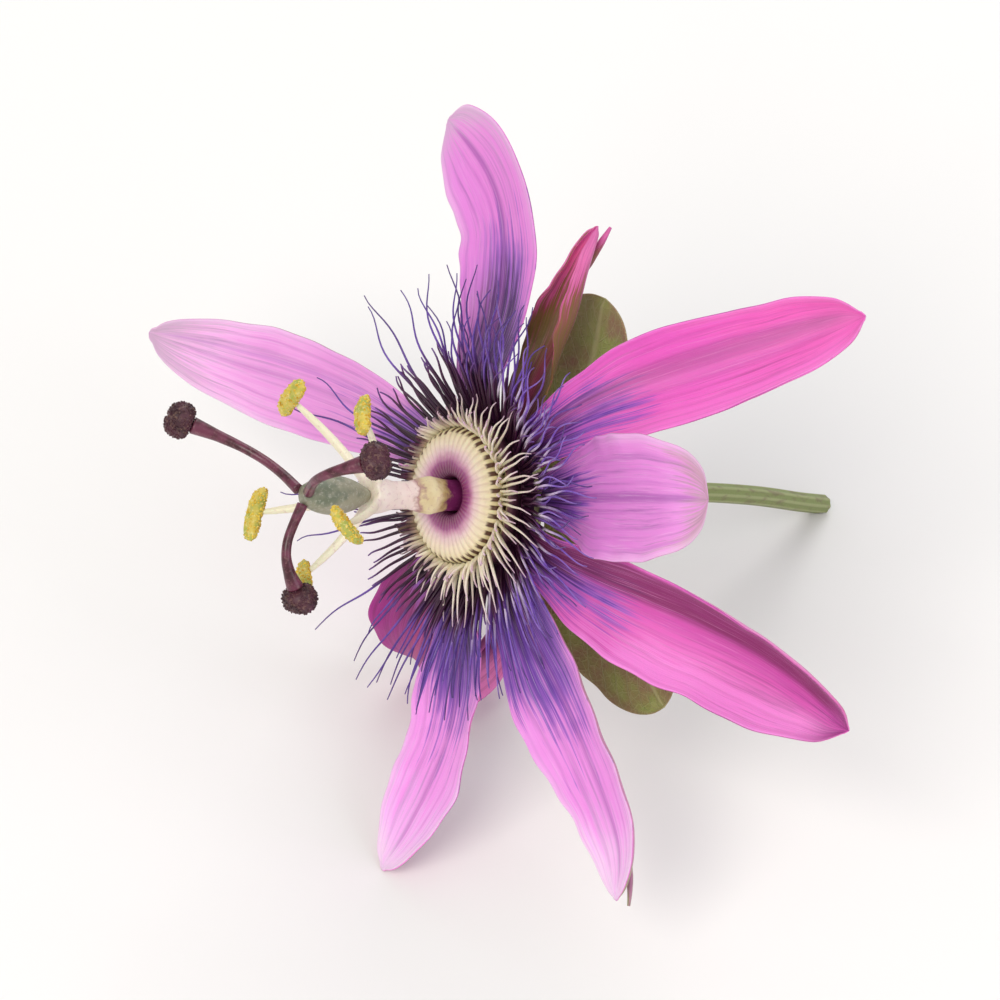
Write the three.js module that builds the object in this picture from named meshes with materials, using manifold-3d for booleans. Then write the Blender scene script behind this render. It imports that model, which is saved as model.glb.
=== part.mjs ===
// A cut passion flower bloom lying on a surface, in millimetres, +Z up.
// It rests on the tips of its lower tepals and on the cut end of its stalk.
// Bloom frame: x and y lie in the plane of the ring, z is the axis that the column stands on.
import * as THREE from 'three';
import { mergeVertices } from 'three/addons/utils/BufferGeometryUtils.js';
import Module from 'manifold-3d';

const wasm = await Module();
wasm.setup();

// ---- Driving dimensions ----

const GAP = 0.3; // between pieces that touch on the real bloom
const RING_CENTRE = [-2.58, 3.23, 39.05]; // middle of the ring plane, once the bloom lies down
const TIP_BACK = 42; // degrees that the bloom's axis is tipped back from straight up
const TURN_AWAY = 51; // degrees that the bloom is turned about its own y axis

const CUP_RADIUS = 10.2;
const CUP_TOP = -0.4;
const CUP_BOTTOM = -9.6;
const NECTARY_RADIUS = 6.2;
const NECTARY_FLOOR = -2.6;

const SEPAL_LEVEL = -2.5; // height of the tepals' roots on the cup's wall
const PETAL_LEVEL = -1.2;
const TEPAL_ROOT = CUP_RADIUS + GAP;
const BLADE_THICKNESS = 0.75;
const BLADE_ROWS = 16;
const BLADE_COLUMNS = 6;
const SPINE_STEPS = 120; // stations along the middle line of a blade

// A sepal's awn: where along the sepal its stations stand, its radius there, how deep in the sepal it
// starts, from where it leaves the sepal's back and how far off it stands at the tip.
const AWN = {
  stations: [0.74, 0.84, 0.93, 1],
  radii: [0.5, 0.6, 0.5, 0.32],
  depth: 0.35,
  leaves: 0.8,
  standoff: 1.8,
};

const STALK_RADIUS = 1.25;
const STALK_SIDES = 10;
const STALK_SPANS = 18;
const STALK_STRAIGHT = 3; // straight length behind the cup, where the bracts stand
const BRACT_LEVEL = -11.6;

const DISC = { hole: 2.3, rim: 8.7, crown: 3.1 };
const OUTER_RING = { inner: 9.0, outer: 11.0, bottom: CUP_TOP + GAP, top: 0.9 };
const INNER_RING = { inner: 9.0, outer: 10.1, bottom: OUTER_RING.top + GAP, top: 2.7 };
const LONG_FILAMENTS = { rows: 2, count: 42, reach: 28.5, thickness: 0.42, tip: 0.22 };
const SHORT_FILAMENTS = { count: 46, reach: 14.2, rise: 4.7, thickness: 0.36, tip: 0.24 };

const COLUMN_TOP = 17.4;
const COLUMN_RADIUS = 1.75;
const COLUMN_BULGE = { height: 7.2, radius: 2.4 };
const ANTHER = { length: 7.4, radius: 1.2, flatness: 0.75 };
const OVARY_LENGTH = 9.6;
const OVARY_RADIUS = 2.45;
const STYLE_FOOT = 0.75; // height of a style's foot over the ovary's crown, on its slant
const STIGMA_RADIUS = 2.3;

// Each sepal: where its root stands round the cup, its length and half width, how steeply it rises
// (negative is bent back), how it swings sideways, and how far its edges curl up, from root to tip.
const SEPALS = [
  {
    at: 151, length: 48.3, half: 6.5, point: 2.5, tip: 1.4,
    rise: [3, 6, 16, 28, 34, 28], swing: [4, 8, 10, 7], cup: [20, 30, 26, 24],
  },
  {
    at: 62, length: 27, half: 4.7,
    rise: [-16, -16, -10, -4, -2], swing: [2, 6, 6, 2], cup: [16, 60, 140, 130],
  },
  {
    at: -2, length: 30, half: 8.1, rise: [3, 6, 8, 4, -20, -70], swing: [2.4, 2, 0], cup: [15, 22, 22, 20],
    widest: 0.62, point: 3.6, tip: 2.2,
  },
  {
    at: -69, length: 45, half: 7.4,
    rise: [2, -4, -8, -12, -8, 20], swing: [8, 10, 0, -20], cup: [20, 42, 44, 38],
  },
  {
    at: 217, length: 38, half: 6.6,
    rise: [-2, -6, -14, -60, -116, -150], swing: [2, 2, 4], cup: [20, 24, 26, 22],
  },
];
const PETALS = [
  {
    at: 97, length: 42, half: 8.4, point: 2.8, tip: 1.8,
    rise: [2, -2, 0, 4, 6], swing: [1, -33, -18, 2, 26, 46], cup: [20, 26, 24, 28],
  },
  {
    at: 31, length: 48, half: 7.6, point: 2.8, tip: 1.7,
    rise: [-2, -22, -38, -36, -30], swing: [-2.2, -11, -9.5, -1], cup: [20, 50, 70, 60],
  },
  {
    at: -35, length: 49, half: 8.2, point: 2.6, tip: 1.6,
    rise: [-2, -20, -36, -36, -30], swing: [4, 11, 0, -15], cup: [20, 50, 74, 62],
  },
  {
    at: -107, length: 40.6, half: 6.8, tip: 1.1,
    rise: [2, 0, 6, 12, 13], swing: [2, 15, 3, -12, -20], cup: [20, 30, 30, 32],
  },
  {
    at: 182, length: 44, half: 6.4,
    rise: [-6, -40, -64, -64, -56], swing: [0, 2, 4], cup: [20, 26, 30, 30],
  },
];
const BRACTS = [
  { at: 69, length: 25, half: 10.0, rise: [4, -8, -6, 4, 10], swing: [0], cup: [30, 34, 40, 44] },
  { at: -57, length: 30, half: 9.0, rise: [0, -12, -14, -8, -4], swing: [0], cup: [30, 34, 40, 44] },
  {
    at: 186, length: 27, half: 8.6,
    rise: [-10, -34, -38, -30, -22], swing: [0], cup: [30, 34, 40, 44],
  },
];
// Each stamen: the way it points round the column, and its anther's distance and height.
const STAMENS = [
  { at: 48, out: 13.0, up: 25.0, turn: -30 },
  { at: 120, out: 13.6, up: 24.0, turn: -12 },
  { at: 190, out: 12.6, up: 25.2, turn: 24 },
  { at: 240, out: 11.4, up: 22.8, turn: 30 },
  { at: 332, out: 8.0, up: 26.4, turn: 50 },
];
// Each style: the way it points, and its stigma's distance and height.
const STYLES = [
  { at: 144, out: 14.8, up: 35.6, sag: 0.5 },
  { at: 264, out: 13.0, up: 28.6, sag: 3.4 },
  { at: 17, out: 13.0, up: 27.8, sag: 2.6 },
];
// The stalk's course from the cup to its cut end, from the ring's centre, in the part's own axes.
const STALK_COURSE = [
  [13.4, 8.0, -8.6],
  [20.5, 12.4, -13.4],
  [28.5, 18.2, -19.6],
  [36.5, 24.6, -27.4],
  [42.6, 30.0, -34.6],
  [45.8, 33.2, -38.6],
];

const COLOURS = {
  sepal: { colour: '#c88fc4', roughness: 0.55 },
  petal: { colour: '#db73c2', roughness: 0.5 },
  green: { colour: '#7c8550', roughness: 0.6 },
  bract: { colour: '#6d6a48', roughness: 0.6 },
  violet: { colour: '#6a3d86', roughness: 0.5 },
  cream: { colour: '#ece0bb', roughness: 0.5 },
  dish: { colour: '#e6bccb', roughness: 0.45 },
  column: { colour: '#efd9cc', roughness: 0.45 },
  anther: { colour: '#d3b54e', roughness: 0.8 },
  ovary: { colour: '#9a9a88', roughness: 0.5 },
  style: { colour: '#58333c', roughness: 0.4 },
};

// ---- Helpers ----

const radians = THREE.MathUtils.degToRad;
const lerp = THREE.MathUtils.lerp;
const vector = (x, y, z) => new THREE.Vector3(x, y, z);

/** The value at s, from 0 to 1, of a list of values spread evenly from root to tip. */
function along(values, s) {
  const place = s * (values.length - 1);
  const first = Math.min(Math.floor(place), Math.max(values.length - 2, 0));
  const next = Math.min(first + 1, values.length - 1);
  return lerp(values[first], values[next], place - first);
}

/** A point at an angle round the bloom's axis, in degrees. */
function polar(angle, distance, height) {
  return vector(Math.cos(radians(angle)) * distance, Math.sin(radians(angle)) * distance, height);
}

function closedGeometry(points, indices) {
  const geometry = new THREE.BufferGeometry();
  geometry.setAttribute('position', new THREE.Float32BufferAttribute(points.flatMap((p) => p.toArray()), 3));
  geometry.setIndex(indices);
  return geometry;
}

/** A geometry as a solid for joining and cutting. */
function toSolid(geometry) {
  const bare = geometry.clone();
  bare.deleteAttribute('normal');
  bare.deleteAttribute('uv');
  const merged = mergeVertices(bare, 1e-4);
  const index = merged.index.array;
  const triangles = [];
  for (let i = 0; i < index.length; i += 3) {
    const [a, b, c] = [index[i], index[i + 1], index[i + 2]];
    if (a !== b && b !== c && c !== a) triangles.push(a, b, c);
  }
  return new wasm.Manifold(new wasm.Mesh({
    numProp: 3,
    vertProperties: new Float32Array(merged.attributes.position.array),
    triVerts: new Uint32Array(triangles),
  }));
}

function fromSolid(solid) {
  const mesh = solid.getMesh();
  const geometry = new THREE.BufferGeometry();
  geometry.setAttribute('position', new THREE.BufferAttribute(new Float32Array(mesh.vertProperties), 3));
  geometry.setIndex(new THREE.BufferAttribute(new Uint32Array(mesh.triVerts), 1));
  return geometry;
}

/** All the geometries joined into one body. */
function fuse(geometries) {
  return fromSolid(geometries.map(toSolid).reduce((sum, next) => sum.add(next)));
}

/** A turned body: the profile is [radius, height] pairs from its lowest point on the axis, or closed. */
function turned(profile, sides) {
  const points = profile.map(([radius, height]) => new THREE.Vector2(radius, height));
  const geometry = new THREE.LatheGeometry(points, sides);
  return geometry.rotateX(Math.PI / 2);
}

/** A closed tube through points, with a radius for each of them. */
function tube(points, radii, sides) {
  const vertices = [];
  const indices = [];
  let normal = null;
  points.forEach((point, j) => {
    const ahead = points[Math.min(j + 1, points.length - 1)];
    const behind = points[Math.max(j - 1, 0)];
    const direction = ahead.clone().sub(behind).normalize();
    const hint = normal ?? (Math.abs(direction.z) < 0.9 ? vector(0, 0, 1) : vector(1, 0, 0));
    normal = hint.clone().addScaledVector(direction, -hint.dot(direction)).normalize();
    const binormal = direction.clone().cross(normal);
    for (let i = 0; i < sides; i += 1) {
      const angle = (2 * Math.PI * i) / sides;
      vertices.push(point.clone()
        .addScaledVector(normal, Math.cos(angle) * radii[j])
        .addScaledVector(binormal, Math.sin(angle) * radii[j]));
    }
  });
  for (let j = 0; j < points.length - 1; j += 1) {
    for (let i = 0; i < sides; i += 1) {
      const a = j * sides + i;
      const b = j * sides + ((i + 1) % sides);
      indices.push(a, b, b + sides, a, b + sides, a + sides);
    }
  }
  const last = (points.length - 1) * sides;
  for (let i = 1; i < sides - 1; i += 1) {
    indices.push(0, i + 1, i, last, last + i, last + i + 1);
  }
  return closedGeometry(vertices, indices);
}

/** The middle line of a blade and the frame along it: x outward, y sideways, z forward. */
function bladeSpine({ length, rise, swing, start }) {
  const spine = [];
  const point = start.clone();
  for (let k = 0; k <= SPINE_STEPS; k += 1) {
    const s = k / SPINE_STEPS;
    const up = radians(along(rise, s));
    const side = radians(along(swing, s));
    const direction = vector(Math.cos(up) * Math.cos(side), Math.cos(up) * Math.sin(side), Math.sin(up));
    const across = vector(-Math.sin(side), Math.cos(side), 0);
    spine.push({ point: point.clone(), across, normal: direction.clone().cross(across) });
    point.addScaledVector(direction, length / SPINE_STEPS);
  }
  return (s) => spine[Math.round(s * SPINE_STEPS)];
}

/** Half width of a tepal at s: a claw, the widest place, and a blunt or pointed tip. */
function outline(s, { half, claw, widest, point, tip }) {
  if (s < widest) return lerp(claw, half, Math.sin((Math.PI / 2) * (s / widest)) ** 1.5);
  const beyond = (s - widest) / (1 - widest);
  return Math.max(tip, half * (1 - beyond ** point) ** 0.65);
}

/** A thin curved blade as one closed body, with the same triangles on both faces. */
function blade(shape) {
  const spineAt = bladeSpine(shape);
  const surface = (s, t) => {
    const { point, across, normal } = spineAt(s);
    const half = outline(s, shape);
    const curl = Math.max(radians(along(shape.cup, s)), 1e-3);
    const phase = s * Math.PI * 2 * shape.waves + (t > 0 ? 0.4 : 2.2);
    const edge = shape.wave * t * t * Math.sin(phase) * Math.sin(Math.PI * s);
    return point.clone()
      .addScaledVector(across, (half / curl) * Math.sin(t * curl))
      .addScaledVector(normal, (half / curl) * (1 - Math.cos(t * curl)) + edge);
  };
  const front = [];
  const back = [];
  for (let j = 0; j <= BLADE_ROWS; j += 1) {
    const even = j / BLADE_ROWS;
    const s = lerp(even, Math.sin((Math.PI / 2) * even), 0.5);
    for (let i = 0; i <= BLADE_COLUMNS; i += 1) {
      const t = (2 * i) / BLADE_COLUMNS - 1;
      const along1 = surface(Math.min(s + 0.01, 1), t).sub(surface(Math.max(s - 0.01, 0), t));
      const across1 = surface(s, Math.min(t + 0.1, 1)).sub(surface(s, Math.max(t - 0.1, -1)));
      const normal = along1.cross(across1).normalize();
      const middle = surface(s, t);
      front.push(middle.clone().addScaledVector(normal, BLADE_THICKNESS / 2));
      back.push(middle.clone().addScaledVector(normal, -BLADE_THICKNESS / 2));
    }
  }
  const stride = BLADE_COLUMNS + 1;
  const under = front.length;
  const indices = [];
  const wall = (a, b) => indices.push(a + under, b + under, b, a + under, b, a);
  for (let j = 0; j < BLADE_ROWS; j += 1) {
    for (let i = 0; i < BLADE_COLUMNS; i += 1) {
      const a = j * stride + i;
      const b = a + stride;
      indices.push(a, b, b + 1, a, b + 1, a + 1);
      indices.push(a + under, b + 1 + under, b + under, a + under, a + 1 + under, b + 1 + under);
    }
    wall(j * stride, (j + 1) * stride);
    wall((j + 1) * stride + BLADE_COLUMNS, j * stride + BLADE_COLUMNS);
  }
  for (let i = 0; i < BLADE_COLUMNS; i += 1) {
    wall(i + 1, i);
    wall(BLADE_ROWS * stride + i, BLADE_ROWS * stride + i + 1);
  }
  return closedGeometry([...front, ...back], indices);
}

/** The small horn behind a sepal's tip, which runs out of its keel. */
function awn(shape) {
  const spineAt = bladeSpine(shape);
  const points = AWN.stations.map((s) => {
    const { point, normal } = spineAt(s);
    const off = (AWN.standoff * Math.max(0, s - AWN.leaves)) / (1 - AWN.leaves);
    return point.clone().addScaledVector(normal, -AWN.depth - off);
  });
  return tube(points, AWN.radii, 5);
}

function mesh(name, geometry, look) {
  const { colour, roughness } = COLOURS[look];
  const material = new THREE.MeshStandardMaterial({ color: colour, roughness, metalness: 0 });
  const made = new THREE.Mesh(geometry, material);
  made.name = name;
  return made;
}

// ---- Pieces ----

const part = new THREE.Group();
const bloom = new THREE.Group();
bloom.position.set(...RING_CENTRE);
bloom.rotation.set(radians(TIP_BACK), radians(-TURN_AWAY), 0);
part.add(bloom);

function addStalk() {
  const start = [0, STALK_STRAIGHT].map((length) => polar(0, 0, CUP_BOTTOM - GAP - length));
  const toPart = new THREE.Matrix4().makeRotationFromEuler(bloom.rotation);
  const course = [
    ...start.map((point) => point.applyMatrix4(toPart)),
    ...STALK_COURSE.map((place) => vector(...place)),
  ];
  const curve = new THREE.CatmullRomCurve3(course, false, 'centripetal');
  const points = curve.getSpacedPoints(STALK_SPANS).map((point) => point.add(bloom.position));
  const radii = points.map((_, j) => STALK_RADIUS * (j === 0 ? 1.5 : j === 1 ? 1.15 : 1));
  part.add(mesh('peduncle', tube(points, radii, STALK_SIDES), 'green'));
}

function addCup() {
  const profile = [
    [0, CUP_BOTTOM],
    [1.9, CUP_BOTTOM],
    [3.6, CUP_BOTTOM + 1.2],
    [5.6, CUP_BOTTOM + 3.6],
    [7.4, CUP_BOTTOM + 5.6],
    [CUP_RADIUS, SEPAL_LEVEL - 0.6],
    [CUP_RADIUS, CUP_TOP],
    [NECTARY_RADIUS, CUP_TOP],
    [NECTARY_RADIUS - 0.5, NECTARY_FLOOR],
    [0, NECTARY_FLOOR],
  ];
  bloom.add(mesh('calyx_cup', turned(profile, 30), 'green'));
}

function addTepals() {
  SEPALS.forEach((sepal, i) => {
    const shape = { claw: 3.0, widest: 0.5, point: 2.0, tip: 0.8, wave: 0.35, waves: 2, ...sepal };
    shape.start = vector(TEPAL_ROOT, 0, SEPAL_LEVEL);
    const made = mesh(`sepal_${i + 1}`, fuse([blade(shape), awn(shape)]), 'sepal');
    made.rotation.z = radians(sepal.at);
    bloom.add(made);
  });
  PETALS.forEach((petal, i) => {
    const shape = { claw: 2.9, widest: 0.52, point: 2.2, tip: 0.9, wave: 0.45, waves: 2.5, ...petal };
    shape.start = vector(TEPAL_ROOT, 0, PETAL_LEVEL);
    const made = mesh(`petal_${i + 1}`, blade(shape), 'petal');
    made.rotation.z = radians(petal.at);
    bloom.add(made);
  });
}

function addBracts() {
  BRACTS.forEach((bract, i) => {
    const shape = { claw: 1.3, widest: 0.42, point: 2.6, tip: 1.0, wave: 0.3, waves: 2, ...bract };
    shape.start = vector(STALK_RADIUS * 1.5 + GAP, 0, BRACT_LEVEL);
    const made = mesh(`bract_${i + 1}`, blade(shape), 'bract');
    made.rotation.z = radians(bract.at);
    bloom.add(made);
  });
}

function ringProfile({ inner, outer, bottom, top }) {
  const middle = (inner + outer) / 2;
  return [
    [inner, bottom],
    [outer, bottom],
    [outer, lerp(bottom, top, 0.6)],
    [middle, top],
    [inner, lerp(bottom, top, 0.7)],
    [inner, bottom],
  ];
}

/** Height of a long filament's tip: the corona is a shallow bowl, deeper on one side. */
function coronaRise(angle) {
  return 5.8 + 2.0 * Math.cos(radians(angle - 155));
}

function addCorona() {
  const { rows, count, reach, thickness, tip } = LONG_FILAMENTS;
  const filaments = [];
  for (let row = 0; row < rows; row += 1) {
    for (let k = 0; k < count; k += 1) {
      const angle = (360 * (k + row / rows)) / count;
      const high = coronaRise(angle) + row * 1.0;
      const far = reach - row * 2.0 + 1.1 * Math.sin(k * 2.4 + row);
      const points = [0, 0.25, 0.5, 0.75, 1].map((s) => polar(
        angle + 2.2 * Math.sin(k * 1.7) * s * s,
        lerp(OUTER_RING.outer - 0.7, far, s),
        lerp(0.5, high, 1 - (1 - s) ** 1.4) + 0.35 * Math.sin(s * 9 + k) * s,
      ));
      const radii = [1, 1, 0.9, 0.75, tip / thickness].map((share) => share * thickness);
      filaments.push(tube(points, radii, 3));
    }
  }
  bloom.add(mesh('corona_outer', fuse([turned(ringProfile(OUTER_RING), 42), ...filaments]), 'violet'));

  const short = [];
  for (let k = 0; k < SHORT_FILAMENTS.count; k += 1) {
    const angle = (360 * k) / SHORT_FILAMENTS.count + 2 * Math.sin(k * 3.1);
    const points = [0, 0.5, 1].map((s) => polar(
      angle,
      lerp(INNER_RING.outer - 0.6, SHORT_FILAMENTS.reach + 0.5 * Math.sin(k * 1.9), s),
      lerp(INNER_RING.top - 0.6, SHORT_FILAMENTS.rise, s ** 0.7),
    ));
    const radii = [SHORT_FILAMENTS.thickness, SHORT_FILAMENTS.thickness, SHORT_FILAMENTS.tip];
    short.push(tube(points, radii, 3));
  }
  bloom.add(mesh('corona_inner', fuse([turned(ringProfile(INNER_RING), 46), ...short]), 'cream'));
}

function addDisc() {
  const { hole, rim, crown } = DISC;
  const foot = CUP_TOP + GAP;
  const profile = [
    [hole, foot],
    [rim, foot],
    [rim, foot + 0.7],
    [rim - 0.7, crown * 0.55],
    [rim - 2.2, crown * 0.88],
    [rim - 4.0, crown],
    [hole + 0.9, crown - 0.2],
    [hole, crown + 0.3],
    [hole, foot],
  ];
  bloom.add(mesh('operculum', turned(profile, 30), 'dish'));
}

function addColumn() {
  const foot = NECTARY_FLOOR + GAP;
  const profile = [
    [0, foot],
    [2.6, foot],
    [1.95, foot + 1.4],
    [1.95, COLUMN_BULGE.height - 2.6],
    [2.1, COLUMN_BULGE.height - 1.6],
    [COLUMN_BULGE.radius, COLUMN_BULGE.height],
    [2.1, COLUMN_BULGE.height + 1.7],
    [COLUMN_RADIUS, COLUMN_BULGE.height + 3.2],
    [COLUMN_RADIUS, 13.6],
    [2.2, 15.6],
    [2.4, COLUMN_TOP],
    [0, COLUMN_TOP],
  ];
  const stamens = STAMENS.map(({ at, out, up }) => {
    const points = [0, 0.33, 0.67, 1].map((s) => polar(
      at,
      lerp(1.2, out - 1.2, s),
      lerp(COLUMN_TOP - 0.8, up - 0.9, s * (0.55 + 0.45 * s)),
    ));
    return tube(points, [0.75, 0.7, 0.6, 0.4], 6);
  });
  bloom.add(mesh('androgynophore', fuse([turned(profile, 20), ...stamens]), 'column'));
}

function addAnthers() {
  const { length, radius, flatness } = ANTHER;
  const profile = [
    [0, -length / 2],
    [radius * 0.62, -length / 2 + 0.5],
    [radius * 0.96, -length / 4],
    [radius, 0],
    [radius * 0.96, length / 4],
    [radius * 0.62, length / 2 - 0.5],
    [0, length / 2],
  ];
  STAMENS.forEach(({ at, out, up, turn }, i) => {
    const body = turned(profile, 10);
    body.rotateX(Math.PI / 2).scale(1, 1, flatness);
    const anther = mesh(`anther_${i + 1}`, body, 'anther');
    anther.position.copy(polar(at, out + 0.35, up + 0.2));
    anther.rotation.set(radians(turn), 0, radians(at), 'ZYX');
    bloom.add(anther);
  });
}

function addPistil() {
  const foot = COLUMN_TOP + GAP;
  const steps = 9;
  const profile = [[0, foot]];
  for (let k = 0; k <= steps; k += 1) {
    const s = k / steps;
    const angle = lerp(0.2, Math.PI - 0.45, s); // the flat crown carries the styles
    profile.push([OVARY_RADIUS * Math.sin(angle) ** 0.8, foot + OVARY_LENGTH * s]);
  }
  const crown = foot + OVARY_LENGTH;
  profile.push([0, crown]);
  bloom.add(mesh('ovary', turned(profile, 18), 'ovary'));

  STYLES.forEach(({ at, out, up, sag }, i) => {
    const points = [0, 0.2, 0.4, 0.6, 0.8, 1].map((s) => polar(
      at,
      lerp(1.2, out, s ** 0.9),
      lerp(crown + STYLE_FOOT, up, s) + sag * Math.sin(Math.PI * s),
    ));
    const stalk = tube(points, [0.7, 0.62, 0.6, 0.62, 0.75, 1.1], 8);
    const knob = new THREE.SphereGeometry(STIGMA_RADIUS, 12, 8);
    knob.scale(1, 1, 0.85);
    const away = points[5].clone().sub(points[4]).normalize();
    knob.translate(...points[5].clone().addScaledVector(away, STIGMA_RADIUS * 0.7).toArray());
    bloom.add(mesh(`style_${i + 1}`, fuse([stalk, knob]), 'style'));
  });
}

/** Cuts what a piece would push below the surface off, which leaves the flat spot it rests on. */
function restOnSurface(name) {
  const resting = part.getObjectByName(name);
  resting.updateWorldMatrix(true, false);
  const slab = new THREE.BoxGeometry(400, 400, 20).translate(0, 0, -10);
  const placed = resting.geometry.clone().applyMatrix4(resting.matrixWorld);
  const trimmed = fromSolid(toSolid(placed).subtract(toSolid(slab)));
  resting.geometry = trimmed.applyMatrix4(resting.matrixWorld.clone().invert());
}

addStalk();
addCup();
addTepals();
addBracts();
addCorona();
addDisc();
addColumn();
addAnthers();
addPistil();
['petal_4', 'petal_5', 'peduncle'].forEach(restOnSurface);

export default part;
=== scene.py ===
"""A cut passion flower bloom lying on a pale floor.

The bloom is drawn whorl by whorl, from its stalk and cup to its styles, in bloom millimetres: the
middle of the corona's ring is the origin, x and y lie in the ring's plane, and z is the axis that
the column stands on. BloomPlace carries a finished mesh into the frame of the solids, in metres.
"""

import logging
import math
from collections.abc import Sequence
from dataclasses import dataclass, fields, replace
from enum import Enum

import bmesh
import bpy
import numpy as np
from mathutils import Matrix, Vector


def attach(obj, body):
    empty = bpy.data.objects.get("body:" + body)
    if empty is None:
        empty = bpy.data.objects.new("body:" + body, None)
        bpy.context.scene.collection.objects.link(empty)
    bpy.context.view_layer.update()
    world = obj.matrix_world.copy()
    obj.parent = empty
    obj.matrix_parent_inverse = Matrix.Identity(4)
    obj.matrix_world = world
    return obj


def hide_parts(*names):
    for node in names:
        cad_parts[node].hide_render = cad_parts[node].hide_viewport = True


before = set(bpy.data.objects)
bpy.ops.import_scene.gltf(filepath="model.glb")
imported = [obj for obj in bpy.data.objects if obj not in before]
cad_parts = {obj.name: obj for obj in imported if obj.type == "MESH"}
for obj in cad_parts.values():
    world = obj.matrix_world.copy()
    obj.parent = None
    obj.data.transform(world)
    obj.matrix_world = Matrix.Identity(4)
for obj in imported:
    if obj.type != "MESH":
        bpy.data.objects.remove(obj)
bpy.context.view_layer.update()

log = logging.getLogger("passion_flower")

MM = 0.001
BODY = "root"

Socket = bpy.types.NodeSocket
Colour = tuple[float, float, float, float]
Stops = Sequence[tuple[float, str]]


# ---- Numbers and colours ----


def lerp(first: float, second: float, share: float) -> float:
    """The value a share of the way from first to second."""
    return first + (second - first) * share


def smooth_between(low: float, high: float, value: np.ndarray) -> np.ndarray:
    """A smooth step of value from 0 at low to 1 at high."""
    share = np.clip((value - low) / (high - low), 0.0, 1.0)
    return share * share * (3.0 - 2.0 * share)


def spread(values: Sequence[float], s: np.ndarray) -> np.ndarray:
    """The values at s, from 0 to 1, of a list spread evenly from root to tip."""
    if len(values) == 1:
        return np.full_like(s, values[0], dtype=float)
    return np.interp(s, np.linspace(0.0, 1.0, len(values)), values)


def shade(code: str) -> Colour:
    """The linear colour of an sRGB code such as "#c88fc4"."""
    parts = [int(code[i : i + 2], 16) / 255 for i in (1, 3, 5)]
    linear = [p / 12.92 if p <= 0.04045 else ((p + 0.055) / 1.055) ** 2.4 for p in parts]
    return (*linear, 1.0)


def polar(angle: float, distance: float, height: float) -> Vector:
    """A point at an angle round the bloom's axis, in degrees."""
    turn = math.radians(angle)
    return Vector((math.cos(turn) * distance, math.sin(turn) * distance, height))


def between(first: np.ndarray, second: np.ndarray, start: float, end: float, t: float) -> np.ndarray:
    """The point at t on the line that passes first at start and second at end."""
    return (end - t) / (end - start) * first + (t - start) / (end - start) * second


def course(points: Sequence[Vector], count: int) -> np.ndarray:
    """Evenly spaced stations on the smooth curve through some points.

    Args:
        points: The points that the curve passes, in order.
        count: The number of stations, ends included.

    Returns:
        The stations, as a count by 3 array.
    """
    steps = 24
    places = [np.array(p, dtype=float) for p in points]
    ends = [2 * places[0] - places[1], *places, 2 * places[-1] - places[-2]]
    dense = []
    for p0, p1, p2, p3 in zip(ends, ends[1:], ends[2:], ends[3:]):
        knots = [0.0]
        for a, b in ((p0, p1), (p1, p2), (p2, p3)):
            knots.append(knots[-1] + max(np.linalg.norm(b - a), 1e-6) ** 0.5)
        t0, t1, t2, t3 = knots
        for t in np.linspace(t1, t2, steps, endpoint=False):
            a2 = between(p1, p2, t1, t2, t)
            b1 = between(between(p0, p1, t0, t1, t), a2, t0, t2, t)
            b2 = between(a2, between(p2, p3, t2, t3, t), t1, t3, t)
            dense.append(between(b1, b2, t1, t2, t))
    dense.append(places[-1])
    line = np.array(dense)
    reached = np.concatenate([[0.0], np.cumsum(np.linalg.norm(np.diff(line, axis=0), axis=1))])
    wanted = np.linspace(0.0, reached[-1], count)
    return np.stack([np.interp(wanted, reached, line[:, axis]) for axis in range(3)], axis=1)


def outline_course(points: Sequence[tuple[float, float]], count: int) -> np.ndarray:
    """Evenly spaced stations of radius and height on the smooth curve through some of them."""
    return course([Vector((radius, 0.0, height)) for radius, height in points], count)[:, [0, 2]]


# ---- Objects and node trees ----


def linked(name: str, data: bpy.types.ID) -> bpy.types.Object:
    """A new object of some data, in the scene."""
    made = bpy.data.objects.new(name, data)
    bpy.context.scene.collection.objects.link(made)
    return made


def plain_mesh(host: bpy.types.Object) -> bpy.types.Mesh:
    """The mesh that an object's modifiers make. The object is removed."""
    scene_state = bpy.context.evaluated_depsgraph_get()
    mesh = bpy.data.meshes.new_from_object(host.evaluated_get(scene_state), depsgraph=scene_state)
    bpy.data.objects.remove(host)
    return mesh


class Flow:
    """What a node gives, with the arithmetic of Math nodes."""

    def __init__(self, sheet: "NodeSheet", socket: Socket) -> None:
        """Takes the sheet that the node is on, and the node's output."""
        self.sheet = sheet
        self.socket = socket

    def __add__(self, other: "Flow | float") -> "Flow":
        """The sum."""
        return self.sheet.calc("ADD", self, other)

    def __sub__(self, other: "Flow | float") -> "Flow":
        """The difference."""
        return self.sheet.calc("SUBTRACT", self, other)

    def __rsub__(self, other: float) -> "Flow":
        """What is left of a plain number."""
        return self.sheet.calc("SUBTRACT", other, self)

    def __mul__(self, other: "Flow | float") -> "Flow":
        """The product."""
        return self.sheet.calc("MULTIPLY", self, other)

    def __truediv__(self, other: "Flow | float") -> "Flow":
        """The quotient."""
        return self.sheet.calc("DIVIDE", self, other)

    def __pow__(self, other: "Flow | float") -> "Flow":
        """The power."""
        return self.sheet.calc("POWER", self, other)

    def __abs__(self) -> "Flow":
        """The size without the sign."""
        return self.sheet.calc("ABSOLUTE", self)


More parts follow.
